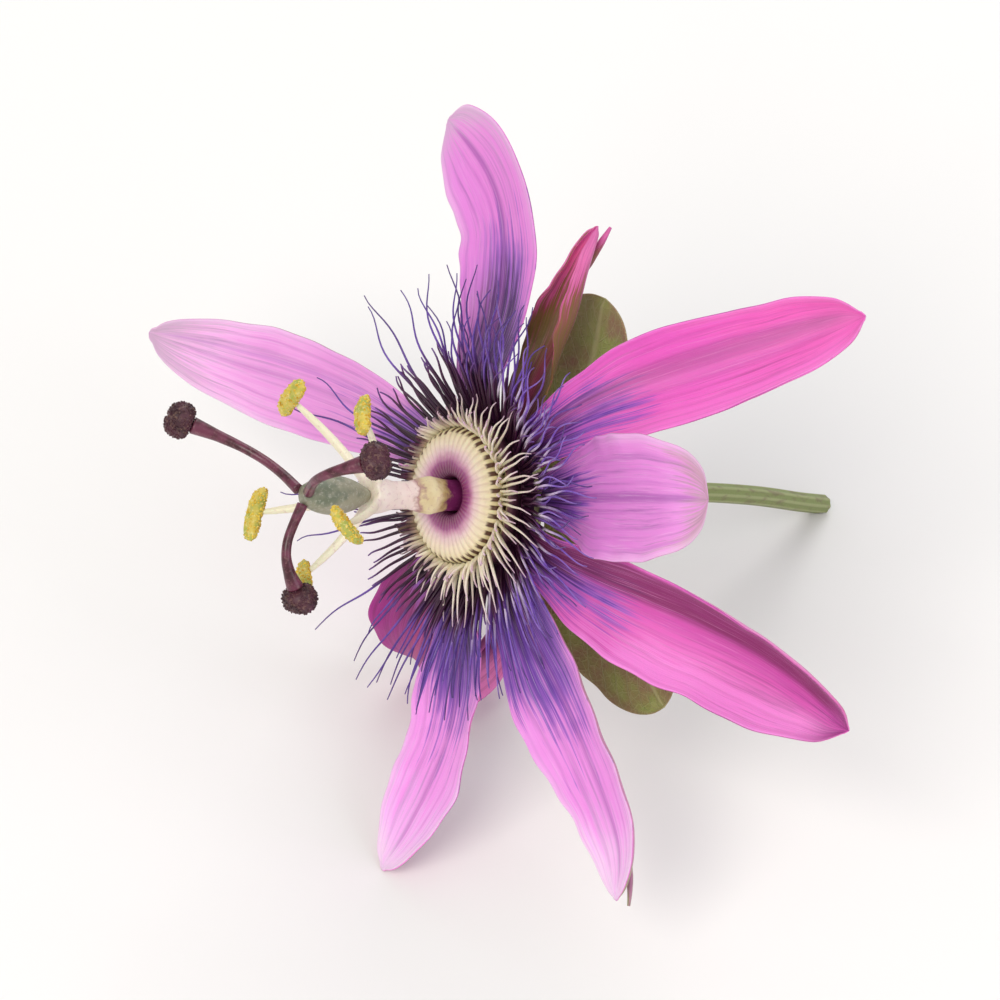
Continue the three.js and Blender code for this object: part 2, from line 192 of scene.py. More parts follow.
class NodeSheet:
    """A node tree being drawn, with short calls for the nodes that recur."""

    def __init__(self, tree: bpy.types.NodeTree) -> None:
        """Takes the tree to draw in."""
        self.tree = tree

    def node(self, kind: str, inputs: dict | None = None, **settings: object) -> bpy.types.Node:
        """Adds a node.

        Args:
            kind: The node's type name.
            inputs: Socket name or number to a value, or to the flow that feeds it.
            settings: The node's own properties.

        Returns:
            The new node.
        """
        made = self.tree.nodes.new(kind)
        for name, value in settings.items():
            setattr(made, name, value)
        for key, value in (inputs or {}).items():
            if isinstance(value, Flow):
                self.tree.links.new(value.socket, made.inputs[key])
            else:
                made.inputs[key].default_value = value
        return made

    def add(
        self, kind: str, inputs: dict | None = None, output: str | int = 0, **settings: object
    ) -> Flow:
        """What one output of a new node gives."""
        return Flow(self, self.node(kind, inputs, **settings).outputs[output])

    def calc(self, operation: str, *values: Flow | float) -> Flow:
        """The result of a Math node."""
        return self.add("ShaderNodeMath", dict(enumerate(values)), operation=operation)

    def step(self, value: Flow, low: float, high: float) -> Flow:
        """A smooth step of value from 0 at low to 1 at high."""
        feeds = {"Value": value, "From Min": low, "From Max": high}
        return self.add("ShaderNodeMapRange", feeds, interpolation_type="SMOOTHSTEP")

    def part(self, place: Flow, axis: int) -> Flow:
        """One of the three numbers of a place."""
        return self.add("ShaderNodeSeparateXYZ", {0: place}, axis)

    def mark(self, name: str, output: str = "Fac") -> Flow:
        """A mark that the mesh carries."""
        return self.add("ShaderNodeAttribute", output=output, attribute_name=name)

    def stretched(self, place: Flow, scale: tuple[float, float, float]) -> Flow:
        """A place with each axis scaled, so that a pattern runs along one of them."""
        return self.add("ShaderNodeMapping", {"Vector": place, "Scale": scale})

    def noise(self, place: Flow, scale: float, detail: float = 2.0, rough: float = 0.5) -> Flow:
        """Noise from 0 to 1 at a place."""
        feeds = {"Vector": place, "Scale": scale, "Detail": detail, "Roughness": rough}
        return self.add("ShaderNodeTexNoise", feeds)

    def cell_edge(self, place: Flow, scale: float) -> Flow:
        """The distance to the nearest edge in a field of cells."""
        feeds = {"Vector": place, "Scale": scale}
        return self.add("ShaderNodeTexVoronoi", feeds, "Distance", feature="DISTANCE_TO_EDGE")

    def ramp(self, value: Flow, stops: Stops) -> Flow:
        """A colour read from a ramp of stops, each a position and an sRGB code."""
        node = self.node("ShaderNodeValToRGB", {0: value})
        elements = node.color_ramp.elements
        while len(elements) < len(stops):
            elements.new(0.5)
        for element, (position, code) in zip(elements, stops):
            element.position = position
            element.color = shade(code)
        return Flow(self, node.outputs[0])

    def blend(self, share: Flow, first: Flow | str, second: Flow | str) -> Flow:
        """Two colours mixed by a share, where a code stands for a plain colour."""
        colours = [shade(c) if isinstance(c, str) else c for c in (first, second)]
        feeds = {"Factor": share, 6: colours[0], 7: colours[1]}
        return self.add("ShaderNodeMix", feeds, 2, data_type="RGBA")

    def coats(self, ground: Flow | str, *coats: tuple[Flow, str]) -> Flow:
        """A ground with coats of colour over it in order, each laid by its share."""
        for share, colour in coats:
            ground = self.blend(share, ground, colour)
        return ground


class Recipe:
    """A Geometry Nodes tree with named inputs, drawn once and run for each piece."""

    def __init__(self, name: str, inputs: dict[str, float | int]) -> None:
        """Opens the tree.

        Args:
            name: The tree's name.
            inputs: Each input's name and default; a whole number makes an integer input.
        """
        self.tree = bpy.data.node_groups.new(name, "GeometryNodeTree")
        self.sheet = NodeSheet(self.tree)
        self.keys: dict[str, str] = {}
        sockets = self.tree.interface
        sockets.new_socket("Geometry", in_out="OUTPUT", socket_type="NodeSocketGeometry")
        sockets.new_socket("Geometry", in_out="INPUT", socket_type="NodeSocketGeometry")
        for label, default in inputs.items():
            kind = "NodeSocketInt" if isinstance(default, int) else "NodeSocketFloat"
            socket = sockets.new_socket(label, in_out="INPUT", socket_type=kind)
            socket.default_value = default
            self.keys[label] = socket.identifier
        finish = sockets.new_socket("Finish", in_out="INPUT", socket_type="NodeSocketMaterial")
        self.keys["Finish"] = finish.identifier
        self.entry = self.sheet.node("NodeGroupInput")

    def given(self, name: str) -> Flow:
        """What a named input gives."""
        return Flow(self.sheet, self.entry.outputs[name])

    def chance(self, index: Flow, offset: int, low: float = -1.0, high: float = 1.0) -> Flow:
        """A random number for an index, drawn from the tree's seed plus an offset."""
        feeds = {2: low, 3: high, "ID": index, "Seed": self.given("Seed") + offset}
        return self.sheet.add("FunctionNodeRandomValue", feeds, 1, data_type="FLOAT")

    def keep_mark(self, geometry: Flow, name: str, value: Flow) -> Flow:
        """The geometry with a number stored at each of its points."""
        feeds = {"Geometry": geometry, "Name": name, "Value": value}
        return self.sheet.add("GeometryNodeStoreNamedAttribute", feeds, data_type="FLOAT")

    def swept(self, line: Flow, section: Flow) -> Flow:
        """The capped tube that a section makes along a line, as wide as the line's radius."""
        width = self.sheet.add("GeometryNodeInputRadius")
        feeds = {"Curve": line, "Profile Curve": section, "Scale": width, "Fill Caps": True}
        return self.sheet.add("GeometryNodeCurveToMesh", feeds)

    def close(self, geometry: Flow) -> None:
        """Ends the tree: smooth faces, real geometry, and the finish."""
        smooth = self.sheet.add("GeometryNodeSetShadeSmooth", {"Geometry": geometry})
        real = self.sheet.add("GeometryNodeRealizeInstances", {0: smooth})
        feeds = {"Geometry": real, "Material": self.given("Finish")}
        self.sheet.node("NodeGroupOutput", {0: self.sheet.add("GeometryNodeSetMaterial", feeds)})

    def run(
        self, name: str, finish: bpy.types.Material, values: dict, source: bpy.types.Mesh | None = None
    ) -> bpy.types.Mesh:
        """Makes a plain mesh.

        Args:
            name: The mesh's name.
            finish: The material that the tree sets.
            values: Input names and their values.
            source: The mesh that the tree works on, where it takes one.

        Returns:
            The tree's result.
        """
        host = linked(name, source or bpy.data.meshes.new(name))
        modifier = host.modifiers.new(self.tree.name, "NODES")
        modifier.node_group = self.tree
        for label, value in {**values, "Finish": finish}.items():
            modifier[self.keys[label]] = value
        mesh = plain_mesh(host)
        mesh.name = name
        return mesh


def fringe_recipe() -> Recipe:
    """The tree that grows one row of tapering filaments round the bloom's axis.

    Returns:
        The recipe. Angles are in radians, and every length is in millimetres.
    """
    recipe = Recipe(
        "fringe",
        {
            "Count": 84, "Points": 14, "Sides": 5, "Root": 10.5, "Reach": 28.0, "Foot": 0.5, "Lift": 5.8,
            "Swing": 2.0, "Toward": 2.7, "Facing": 0.0, "Bend": 1.4, "Thickness": 0.3, "Tip": 0.3,
            "Wave": 0.5, "Scatter": 0.03, "Ragged": 0.05, "Lean": 0.0, "Sparse": 0.0, "Turn": 0.0, "Seed": 1,
        },
    )
    root_scatter, uneven_lift = 0.35, 0.7
    side_waves, up_waves = 9.0, 7.0
    full_from, bare_from = 0.1, -0.55
    sheet, given, chance = recipe.sheet, recipe.given, recipe.chance
    line = sheet.add("GeometryNodeCurvePrimitiveLine")
    fine = sheet.add("GeometryNodeResampleCurve", {"Curve": line, "Count": given("Points")})
    feeds = {0: fine, "Amount": given("Count")}
    copies = sheet.node("GeometryNodeDuplicateElements", feeds, domain="SPLINE")
    index = Flow(sheet, copies.outputs["Duplicate Index"])
    s = sheet.add("GeometryNodeSplineParameter", output="Factor")
    far = s * s

    even = (index + given("Turn")) * sheet.calc("DIVIDE", math.tau, given("Count"))
    angle = chance(index, 0) * given("Scatter") * (far + root_scatter) + even
    aside = sheet.calc("COSINE", angle - given("Toward"))
    grown = (given("Reach") - given("Root")) * (aside * given("Lean") + 1.0)
    radius = grown * (chance(index, 1) * given("Ragged") + 1.0) * s + given("Root")

    lift = aside * given("Swing") + given("Lift") + chance(index, 2) * uneven_lift
    climb = lift * (1.0 - (1.0 - s) ** given("Bend"))
    swell = given("Wave") * far
    phase = chance(index, 3) * math.pi
    sideways = swell * sheet.calc("SINE", s * side_waves + phase)
    height = climb + given("Foot") + swell * sheet.calc("COSINE", s * up_waves + phase)

    cosine, sine = sheet.calc("COSINE", angle), sheet.calc("SINE", angle)
    x = radius * cosine - sideways * sine
    y = radius * sine + sideways * cosine
    place = sheet.add("ShaderNodeCombineXYZ", {0: x, 1: y, 2: height})
    feeds = {"Geometry": Flow(sheet, copies.outputs["Geometry"]), "Position": place}
    bent = sheet.add("GeometryNodeSetPosition", feeds)
    thick = given("Thickness") * (1.0 - s * (1.0 - given("Tip")))
    strands = sheet.add("GeometryNodeSetCurveRadius", {"Curve": bent, "Radius": thick})

    facing = sheet.calc("COSINE", angle - given("Facing"))
    bare = sheet.step(facing, full_from, bare_from) * given("Sparse")
    missing = sheet.calc("LESS_THAN", chance(index, 6, 0.0, 1.0), bare)
    strands = sheet.add("GeometryNodeDeleteGeometry", {0: strands, 1: missing}, domain="CURVE")
    for name, value in (("along", s), ("tone", chance(index, 4, 0.0, 1.0)), ("facing", facing)):
        strands = recipe.keep_mark(strands, name, value)
    feeds = {"Resolution": given("Sides"), "Radius": 1.0}
    recipe.close(recipe.swept(strands, sheet.add("GeometryNodeCurvePrimitiveCircle", feeds)))
    return recipe


def grain_recipe() -> Recipe:
    """The tree that strews small grains over the faces of a mesh where its "grainy" mark is set.

    Returns:
        The recipe. Density is in grains a square millimetre.
    """
    recipe = Recipe("grains", {"Density": 8.0, "Size": 0.12, "Uneven": 0.4, "Tall": 1.0, "Seed": 1})
    sheet, given = recipe.sheet, recipe.given
    grainy = sheet.add("GeometryNodeInputNamedAttribute", {"Name": "grainy"}, data_type="FLOAT")
    feeds = {"Mesh": given("Geometry"), "Density": given("Density") * grainy, "Seed": given("Seed")}
    strewn = sheet.node("GeometryNodeDistributePointsOnFaces", feeds, distribute_method="RANDOM")
    index = sheet.add("GeometryNodeInputIndex")
    across = (recipe.chance(index, 5) * given("Uneven") + 1.0) * given("Size")
    feeds = {
        "Points": Flow(sheet, strewn.outputs["Points"]),
        "Instance": sheet.add("GeometryNodeMeshIcoSphere", {"Radius": 1.0, "Subdivisions": 1}),
        "Rotation": Flow(sheet, strewn.outputs["Rotation"]),
        "Scale": sheet.add("ShaderNodeCombineXYZ", {0: across, 1: across, 2: across * given("Tall")}),
    }
    recipe.close(sheet.add("GeometryNodeInstanceOnPoints", feeds))
    return recipe


def stem_recipe() -> Recipe:
    """The tree that sweeps a ridged round section along a line of edges.

    Returns:
        The recipe. Swell widens the stem near its start.
    """
    recipe = Recipe(
        "stem", {"Radius": 1.25, "Sides": 40, "Ridges": 8, "Ridge": 0.05, "Swell": 0.5, "Seed": 1}
    )
    fade = 14.0
    sheet, given = recipe.sheet, recipe.given
    line = sheet.add("GeometryNodeMeshToCurve", {"Mesh": given("Geometry")})
    s = sheet.add("GeometryNodeSplineParameter", output="Factor")
    width = (1.0 - s) ** fade * given("Swell") + 1.0
    swollen = sheet.add("GeometryNodeSetCurveRadius", {"Curve": line, "Radius": width})
    feeds = {"Resolution": given("Sides"), "Radius": given("Radius")}
    ring = sheet.add("GeometryNodeCurvePrimitiveCircle", feeds)
    place = sheet.add("GeometryNodeInputPosition")
    turn = sheet.calc("ARCTAN2", sheet.part(place, 1), sheet.part(place, 0))
    ridge = sheet.calc("COSINE", turn * given("Ridges"))
    feeds = {0: place, "Scale": ridge * given("Ridge") + 1.0}
    scaled = sheet.add("ShaderNodeVectorMath", feeds, operation="SCALE")
    section = sheet.add("GeometryNodeSetPosition", {"Geometry": ring, "Position": scaled})
    line, section = recipe.keep_mark(swollen, "along", s), recipe.keep_mark(section, "ridge", ridge)
    recipe.close(recipe.swept(line, section))
    return recipe


# ---- Finishes ----


@dataclass(frozen=True)
class Finish:
    """What the bloom's living surfaces share. A kind of surface adds its own paint."""

    name: str
    roughness: float = 0.5
    glow: float = 0.0
    glow_depth: float = 0.6
    glow_spread: tuple[float, float, float] = (1.0, 0.55, 0.8)
    sheen: float = 0.0
    sheen_roughness: float = 0.4
    coat: float = 0.0
    relief: float = 0.05

    def paint(self, sheet: NodeSheet) -> tuple[Flow, Flow]:
        """Draws the pattern.

        Args:
            sheet: The material's node sheet.

        Returns:
            The colour, and the height of its fine relief.
        """
        raise NotImplementedError

    def build(self) -> bpy.types.Material:
        """The finish as a material.

        Returns:
            The material, the same one each time.
        """
        found = bpy.data.materials.get(self.name)
        if found:
            return found
        material = bpy.data.materials.new(self.name)
        material.use_nodes = True
        sheet = NodeSheet(material.node_tree)
        sockets = material.node_tree.nodes["Principled BSDF"].inputs
        sockets["Roughness"].default_value = self.roughness
        sockets["Subsurface Weight"].default_value = self.glow
        sockets["Subsurface Radius"].default_value = self.glow_spread
        sockets["Subsurface Scale"].default_value = self.glow_depth * MM
        sockets["Sheen Weight"].default_value = self.sheen
        sockets["Sheen Roughness"].default_value = self.sheen_roughness
        sockets["Coat Weight"].default_value = self.coat
        colour, height = self.paint(sheet)
        bump = sheet.add("ShaderNodeBump", {"Distance": self.relief * MM, "Height": height})
        for flow, socket in ((colour, "Base Color"), (bump, "Normal")):
            material.node_tree.links.new(flow.socket, sockets[socket])
        return material


@dataclass(frozen=True)
class TepalFinish(Finish):
    """A sepal's or petal's two faces, with streaks and veins that run from root to tip."""

    inner: Stops = ()
    outer: Stops = ()
    vein: str = "#8a3f9a"
    vein_share: float = 0.3
    rim: str = "#f3d0ee"
    rim_share: float = 0.45
    stripe: str = "#9c4ba6"
    stripe_at: float = 0.5
    stripe_width: float = 0.05
    stripe_share: float = 0.45
    stripe_core: float = 0.0
    # Painted highlight: lit is laid on the lit_side half of the inner face, from lit_from along the blade,
    # standing in for light that falls on that half.
    lit_side: float = 0.0
    lit_from: float = 0.22
    lit: str = "#ff9ce6"
    lit_share: float = 0.75
    keel: str = "#7d2a6a"
    keel_width: float = 0.22
    keel_share: float = 0.85
    streak: float = 0.5
    broad_grain: tuple[float, float, float] = (30.0, 2.4, 1.0)
    fine_grain: tuple[float, float, float] = (85.0, 5.0, 1.0)
    drift: float = 0.85
    edge_lag: float = 0.7

    def paint(self, sheet: NodeSheet) -> tuple[Flow, Flow]:
        """Draws the faces from root to tip, their streaks, veins and stripe, the pale rim, and a painted
        highlight on one half of the inner face.
        """
        place = sheet.add("ShaderNodeUVMap", uv_map="Face")
        across, length = sheet.part(place, 0), sheet.part(place, 1)
        offset = across - 0.5
        middle = abs(offset)
        solid = sheet.mark("place", "Vector")
        streaks = sheet.noise(sheet.stretched(place, self.broad_grain), 1.0, 4.0, 0.62)
        fine = sheet.noise(sheet.stretched(place, self.fine_grain), 1.0, 3.0, 0.6)
        cloud = (sheet.noise(solid, 0.13, 3.0) - 0.5) * 0.3
        moved = length + (cloud + (streaks - 0.5) * self.drift) + middle * middle * self.edge_lag
        dark_streak = sheet.step(streaks, 0.5, 0.76) * self.streak
        vein = sheet.mark("vein")

        inner = sheet.ramp(moved, self.inner)
        # painted highlight on one half of the inner face, fading before the tip
        if self.lit_side:
            side = sheet.step(offset * self.lit_side, 0.02, 0.3)
            reach = sheet.step(moved, self.lit_from, self.lit_from + 0.28) * sheet.step(length, 1.0, 0.8)
            inner = sheet.blend(side * (reach * self.lit_share), inner, self.lit)
        aside = (streaks - 0.5) * 0.12 + abs(across - self.stripe_at)
        stripe = sheet.step(aside, self.stripe_width, self.stripe_width * self.stripe_core)
        pale = sheet.step(fine, 0.5, 0.24) * (sheet.step(length, 0.5, 0.2) * 0.25 + 0.3)
        rim = sheet.step(middle, 0.38, 0.5) * sheet.step(length, 0.3, 0.6)
        inner = sheet.coats(
            inner,
            (stripe * sheet.step(length, 1.0, 0.82) * self.stripe_share, self.stripe),
            (dark_streak, self.vein),
            (vein * self.vein_share, self.vein),
            (pale, self.rim),
            (rim * self.rim_share, self.rim),
        )
        keel = sheet.step(middle, self.keel_width, self.keel_width * 0.2)
        outer = sheet.coats(
            sheet.ramp(moved, self.outer),
            (keel * self.keel_share, self.keel),
            (vein * 0.35, self.keel),
            (dark_streak * 0.7, self.keel),
        )
        colour = sheet.blend(sheet.mark("outside"), inner, outer)
        return colour, fine * 0.8 + sheet.noise(solid, 5.0, 2.0) * 0.4


@dataclass(frozen=True)
class BractFinish(Finish):
    """A bract's leathery skin: a midrib, side veins and a net between them."""

    ground: str = "#93a052"
    flush: str = "#937058"
    pale: str = "#bcbf86"
    side_veins: float = 9.0
    slant: float = 7.0

    def paint(self, sheet: NodeSheet) -> tuple[Flow, Flow]:
        """Draws the green ground, the brown-purple flush and the net of veins."""
        place = sheet.add("ShaderNodeUVMap", uv_map="Face")
        middle = abs(sheet.part(place, 0) - 0.5)
        solid = sheet.mark("place", "Vector")
        waves = (sheet.part(place, 1) * self.side_veins - middle * self.slant) * math.pi
        side = sheet.step(abs(sheet.calc("SINE", waves)), 0.2, 0.0)
        rib = sheet.step(middle, 0.035, 0.005)
        net = sheet.step(sheet.cell_edge(solid, 0.9), 0.09, 0.0) * 0.45
        veins = sheet.calc("MAXIMUM", sheet.calc("MAXIMUM", side, rib), net)
        colour = sheet.coats(
            self.ground,
            (sheet.step(sheet.noise(solid, 0.16, 3.0), 0.42, 0.72), self.flush),
            (sheet.step(middle, 0.34, 0.5) * 0.6, self.flush),
            (veins * 0.55, self.pale),
        )
        return colour, veins * 0.8 + sheet.noise(solid, 3.0, 2.0)


@dataclass(frozen=True)
class FilamentFinish(Finish):
    """Thread-like filaments, banded from root to tip; strands on the side at facing take the pale bands as
    painted light.
    """

    bands: Stops = ()
    band_shift: float = 0.16
    pale_bands: Stops = ()
    pale_from: float = 0.75
    fleck: str = "#3a0f3f"
    flecks: float = 0.35

    def paint(self, sheet: NodeSheet) -> tuple[Flow, Flow]:
        """Draws the bands, shifted a little from strand to strand, the pale bands as painted light on the
        side at facing, and small flecks.
        """
        tone = sheet.mark("tone")
        solid = sheet.mark("place", "Vector")
        shifted = sheet.mark("along") + (tone - 0.5) * self.band_shift
        colour = sheet.ramp(shifted, self.bands)
        if self.pale_bands:
            # Painted light: strands that face the lit side, with some luck, take the pale bands.
            luck = sheet.calc("FRACT", tone * 7.0)
            lit = sheet.mark("facing") * 0.7 + luck
            pale_where_lit = sheet.step(lit, self.pale_from, self.pale_from + 0.4)
            colour = sheet.blend(pale_where_lit, colour, sheet.ramp(shifted, self.pale_bands))
        spots = sheet.step(sheet.noise(solid, 1.6, 3.0), 0.52, 0.66) * self.flecks
        dark_strand = sheet.step(tone, 0.55, 1.0) * 0.3
        colour = sheet.coats(colour, (spots, self.fleck), (dark_strand, self.fleck))
        return colour, sheet.noise(solid, 6.0, 2.0)


@dataclass(frozen=True)
class TurnedFinish(Finish):
    """A round body whose colour changes with height or with distance from the bloom's axis."""

    bands: Stops = ()
    by_height: bool = False
    low: float = 0.0
    high: float = 10.0
    fleck: str = "#5f1f4a"
    flecks: float = 0.3
    fleck_size: float = 1.6
    ribs: int = 0
    sway: float = 0.6
    sways: float = 5.0
    gap_shade_from: float = 2.0
    # gap is the colour of the painted shade in the gaps between the outer pleats.
    gap: str = "#5a3a2c"

    def paint(self, sheet: NodeSheet) -> tuple[Flow, Flow]:
        """Draws the bands, the flecks, the painted shade between the ribs in the fleck colour, and the
        painted shade of the gaps past gap_shade_from.
        """
        solid = sheet.mark("place", "Vector")
        x, y, z = (sheet.part(solid, axis) for axis in range(3))
        place = z if self.by_height else sheet.calc("SQRT", x * x + y * y)
        share = (place - self.low) / (self.high - self.low)
        share = (sheet.noise(solid, 0.7, 3.0) - 0.5) * 0.16 + share
        spots = sheet.step(sheet.noise(solid, self.fleck_size, 2.5, 0.6), 0.55, 0.68) * self.flecks
        colour = sheet.blend(spots, sheet.ramp(share, self.bands), self.fleck)
        height = sheet.noise(solid, 2.6, 3.0)
        if self.ribs:
            around = sheet.calc("ARCTAN2", y, x)
            turn = around * self.ribs + sheet.calc("SINE", around * self.sways) * self.sway
            rib = sheet.calc("COSINE", turn) * 0.5 + 0.5
            shadow = sheet.step(rib, 0.35, 0.0) * 0.22
            # painted shade in the gaps between the pleats, past gap_shade_from
            beyond = sheet.step(share, self.gap_shade_from, self.gap_shade_from + 0.06)
            gap_shade = beyond * sheet.step(rib, 0.75, 0.35)
            colour = sheet.coats(colour, (shadow, self.fleck), (gap_shade, self.gap))
            height = rib * 0.6 + height
        return colour, height


@dataclass(frozen=True)
class MottledFinish(Finish):
    """A surface of two colours in clouds, with grainy spots of a third."""

    ground: str = "#d3b54e"
    cloud: str = "#a58f2a"
    spot: str = "#f0e2a0"
    cloud_size: float = 0.5
    spot_size: float = 2.4
    spots: float = 0.5

    def paint(self, sheet: NodeSheet) -> tuple[Flow, Flow]:
        """Draws the clouds and the spots."""
        solid = sheet.mark("place", "Vector")
        clouds = sheet.step(sheet.noise(solid, self.cloud_size, 3.0), 0.4, 0.64)
        grains = sheet.noise(solid, self.spot_size, 3.0, 0.6)
        spots = sheet.step(grains, 0.52, 0.66) * self.spots
        return sheet.coats(self.ground, (clouds, self.cloud), (spots, self.spot)), grains


@dataclass(frozen=True)
class StemFinish(Finish):
    """A green stem with pale ridges and a brown tinge."""

    ground: str = "#7f8a4e"
    ridge: str = "#a9ad7c"
    tinge: str = "#6c4b45"

    def paint(self, sheet: NodeSheet) -> tuple[Flow, Flow]:
        """Draws the ridges and the tinge, which gathers near the bloom."""
        solid = sheet.mark("place", "Vector")
        ridge = sheet.step(sheet.mark("ridge"), -0.2, 0.9)
        streaks = sheet.noise(sheet.stretched(solid, (1.0, 1.0, 0.35)), 1.2, 3.0)
        near = sheet.step(sheet.mark("along"), 0.5, 0.0) * 0.35
        patches = near + sheet.step(streaks, 0.5, 0.7) * 0.45
        colour = sheet.coats(self.ground, (ridge * 0.6, self.ridge), (patches, self.tinge))
        return colour, ridge * 0.5 + sheet.noise(solid, 4.0, 2.0)


def face(
    violet_and_shade: float, *beyond: tuple[float, str], root: str = "#3a1040", deep: str = "#7040ac"
) -> Stops:
    """The colours of an inner face, from its dark root: the tepal's own violet base, darkened as painted
    shade where the corona's filaments lie over it.

    Args:
        violet_and_shade: The share of the length that the violet base and its painted shade cover.
        beyond: The stops that follow.
        root: The root's colour.
        deep: The colour of the violet base and its painted shade in their outer half.

    Returns:
        The stops.
    """
    stops = ((0.0, root), (0.28 * violet_and_shade, "#46186a"), (0.7 * violet_and_shade, deep), (violet_and_shade, "#9c5cc4"))
    return (*stops, (violet_and_shade + 0.12, beyond[0][1]), *beyond)


OUTER_SEPAL: Stops = (
    (0.0, "#8c8f5c"), (0.25, "#a98a86"), (0.55, "#c97cae"), (0.9, "#cf7fb4"), (1.0, "#9c9a72"),
)
OUTER_PETAL: Stops = (
    (0.0, "#7b3a8c"), (0.2, "#b455a8"), (0.5, "#dd72bd"), (0.85, "#e67fc0"), (1.0, "#d66aa8"),
)
OUTER_HOT: Stops = (
    (0.0, "#6a4038"), (0.3, "#74602e"), (0.54, "#80602e"), (0.64, "#985048"), (0.74, "#d0609c"),
    (0.9, "#ea78b8"), (1.0, "#d66aa8"),
)
INNER_HOT: Stops = (
    (0.0, "#3a1030"), (0.16, "#5c3028"), (0.32, "#6b5c2a"), (0.52, "#7a6428"), (0.6, "#94504a"),
    (0.68, "#d05c98"), (0.86, "#f472b4"), (1.0, "#d85cb0"),
)

PETAL = TepalFinish(
    "petal_lilac", glow=0.3, glow_depth=0.7, sheen=0.12, relief=0.06, outer=OUTER_PETAL, streak=0.38,
    inner=face(0.4, (0.6, "#ea86e0"), (0.8, "#ec92e2"), (1.0, "#dcb2d8"), root="#230820", deep="#461260"),
)
# petal_1 has a painted highlight on one half of its inner face.
PETAL_TOP = replace(PETAL, name="petal_lilac_top", lit_side=1.0, lit_from=0.04, lit="#e88ce2")
PETAL_ROSE = replace(
    PETAL, name="petal_rose", stripe_share=0.2, streak=0.34,
    inner=face(0.34, (0.6, "#fa9ef0"), (0.8, "#ffbcfa"), (1.0, "#ffd8fa")),
)
# Both magenta petals have a painted highlight on one half of their inner faces.
PETAL_UPPER = replace(
    PETAL, name="petal_magenta_upper", vein="#a8408e", rim="#f8a8e0", rim_share=0.25, streak=0.5,
    inner=face(0.2, (0.5, "#ee68cc"), (0.8, "#f26cc6"), (1.0, "#e464b8")),
    stripe="#a8518f", stripe_at=0.64, stripe_width=0.16, stripe_share=0.6, lit_side=-1.0, lit="#ff84dc",
)
# Its wide dark stripe along one half is partly a darker keel band and partly painted shade of the blade's
# folded half.
PETAL_LOWER = replace(
    PETAL_UPPER, name="petal_magenta_lower", lit="#ff9ae8", rim_share=0.12,
    inner=face(0.18, (0.5, "#e45cc0"), (0.76, "#d850b4"), (1.0, "#982880")),
    stripe="#74154e", stripe_at=0.76, stripe_width=0.26, stripe_share=0.88, stripe_core=0.5,
)
SEPAL = replace(
    PETAL, name="sepal_lilac", outer=OUTER_SEPAL, keel="#7f8450", keel_width=0.3, streak=0.5,
    inner=face(0.2, (0.5, "#e285da"), (0.85, "#e690dc"), (1.0, "#c89ab0")),
)
SEPAL_PALE = replace(
    SEPAL, name="sepal_pale", stripe_at=0.36, stripe="#b56cc4", streak=0.34,
    inner=face(0.16, (0.5, "#ee9fe4"), (0.75, "#fbbcf1"), (1.0, "#d2aecc")),
)
SEPAL_ROSE = replace(
    SEPAL, name="sepal_rose", stripe_share=0.25, streak=0.4,
    inner=face(0.34, (0.6, "#f094e8"), (0.8, "#fbb6f4"), (1.0, "#ffdcfb")),
)
SEPAL_HOT = replace(
    SEPAL, name="sepal_hot", outer=OUTER_HOT, inner=INNER_HOT, keel="#a02c74", vein="#8c2f4e",
    stripe="#b8306e", stripe_width=0.2, stripe_share=0.3, rim="#e080a8", rim_share=0.2,
)
# Painted shade: the reflexed fifth sepal lies in shade, so its inner face is painted dark magenta; its outer
# face keeps the petals' magenta.
SEPAL_SHADED = replace(
    SEPAL, name="sepal_shaded", sheen=0.0, outer=OUTER_PETAL, keel="#6f1c5c", vein="#560c44", streak=0.7,
    inner=face(0.12, (0.3, "#86086a"), (0.55, "#a80e8a"), (1.0, "#b82ca0"), root="#2c0620", deep="#5a0c48"),
    rim="#c850a8", rim_share=0.2, stripe="#c42a74", stripe_at=0.6, stripe_width=0.2, stripe_share=0.5,
)

BRACT = BractFinish("bract_skin", roughness=0.55, glow=0.1, relief=0.12)
# The long filaments' pale bands are their own white bands, laid on the side at facing as painted light.
LONG_FILAMENT = FilamentFinish(
    "filament_banded", roughness=0.42, glow=0.08, relief=0.02, flecks=0.24,
    bands=(
        (0.0, "#2c0522"), (0.34, "#3a0a32"), (0.46, "#5c3480"), (0.56, "#7450b4"), (0.8, "#5b3c96"),
        (1.0, "#523884"),
    ),
    pale_bands=(
        (0.0, "#2c0522"), (0.28, "#42103c"), (0.38, "#e9d9ee"), (0.5, "#d6c2ea"), (0.64, "#7a52bd"),
        (0.9, "#8f6fc4"), (1.0, "#5b3f8a"),
    ),
)
MIDDLE_FILAMENT = FilamentFinish(
    "filament_dark", roughness=0.42, glow=0.05, relief=0.02,
    bands=((0.0, "#24041c"), (0.5, "#35082a"), (0.8, "#4d1748"), (1.0, "#6f4496")),
)
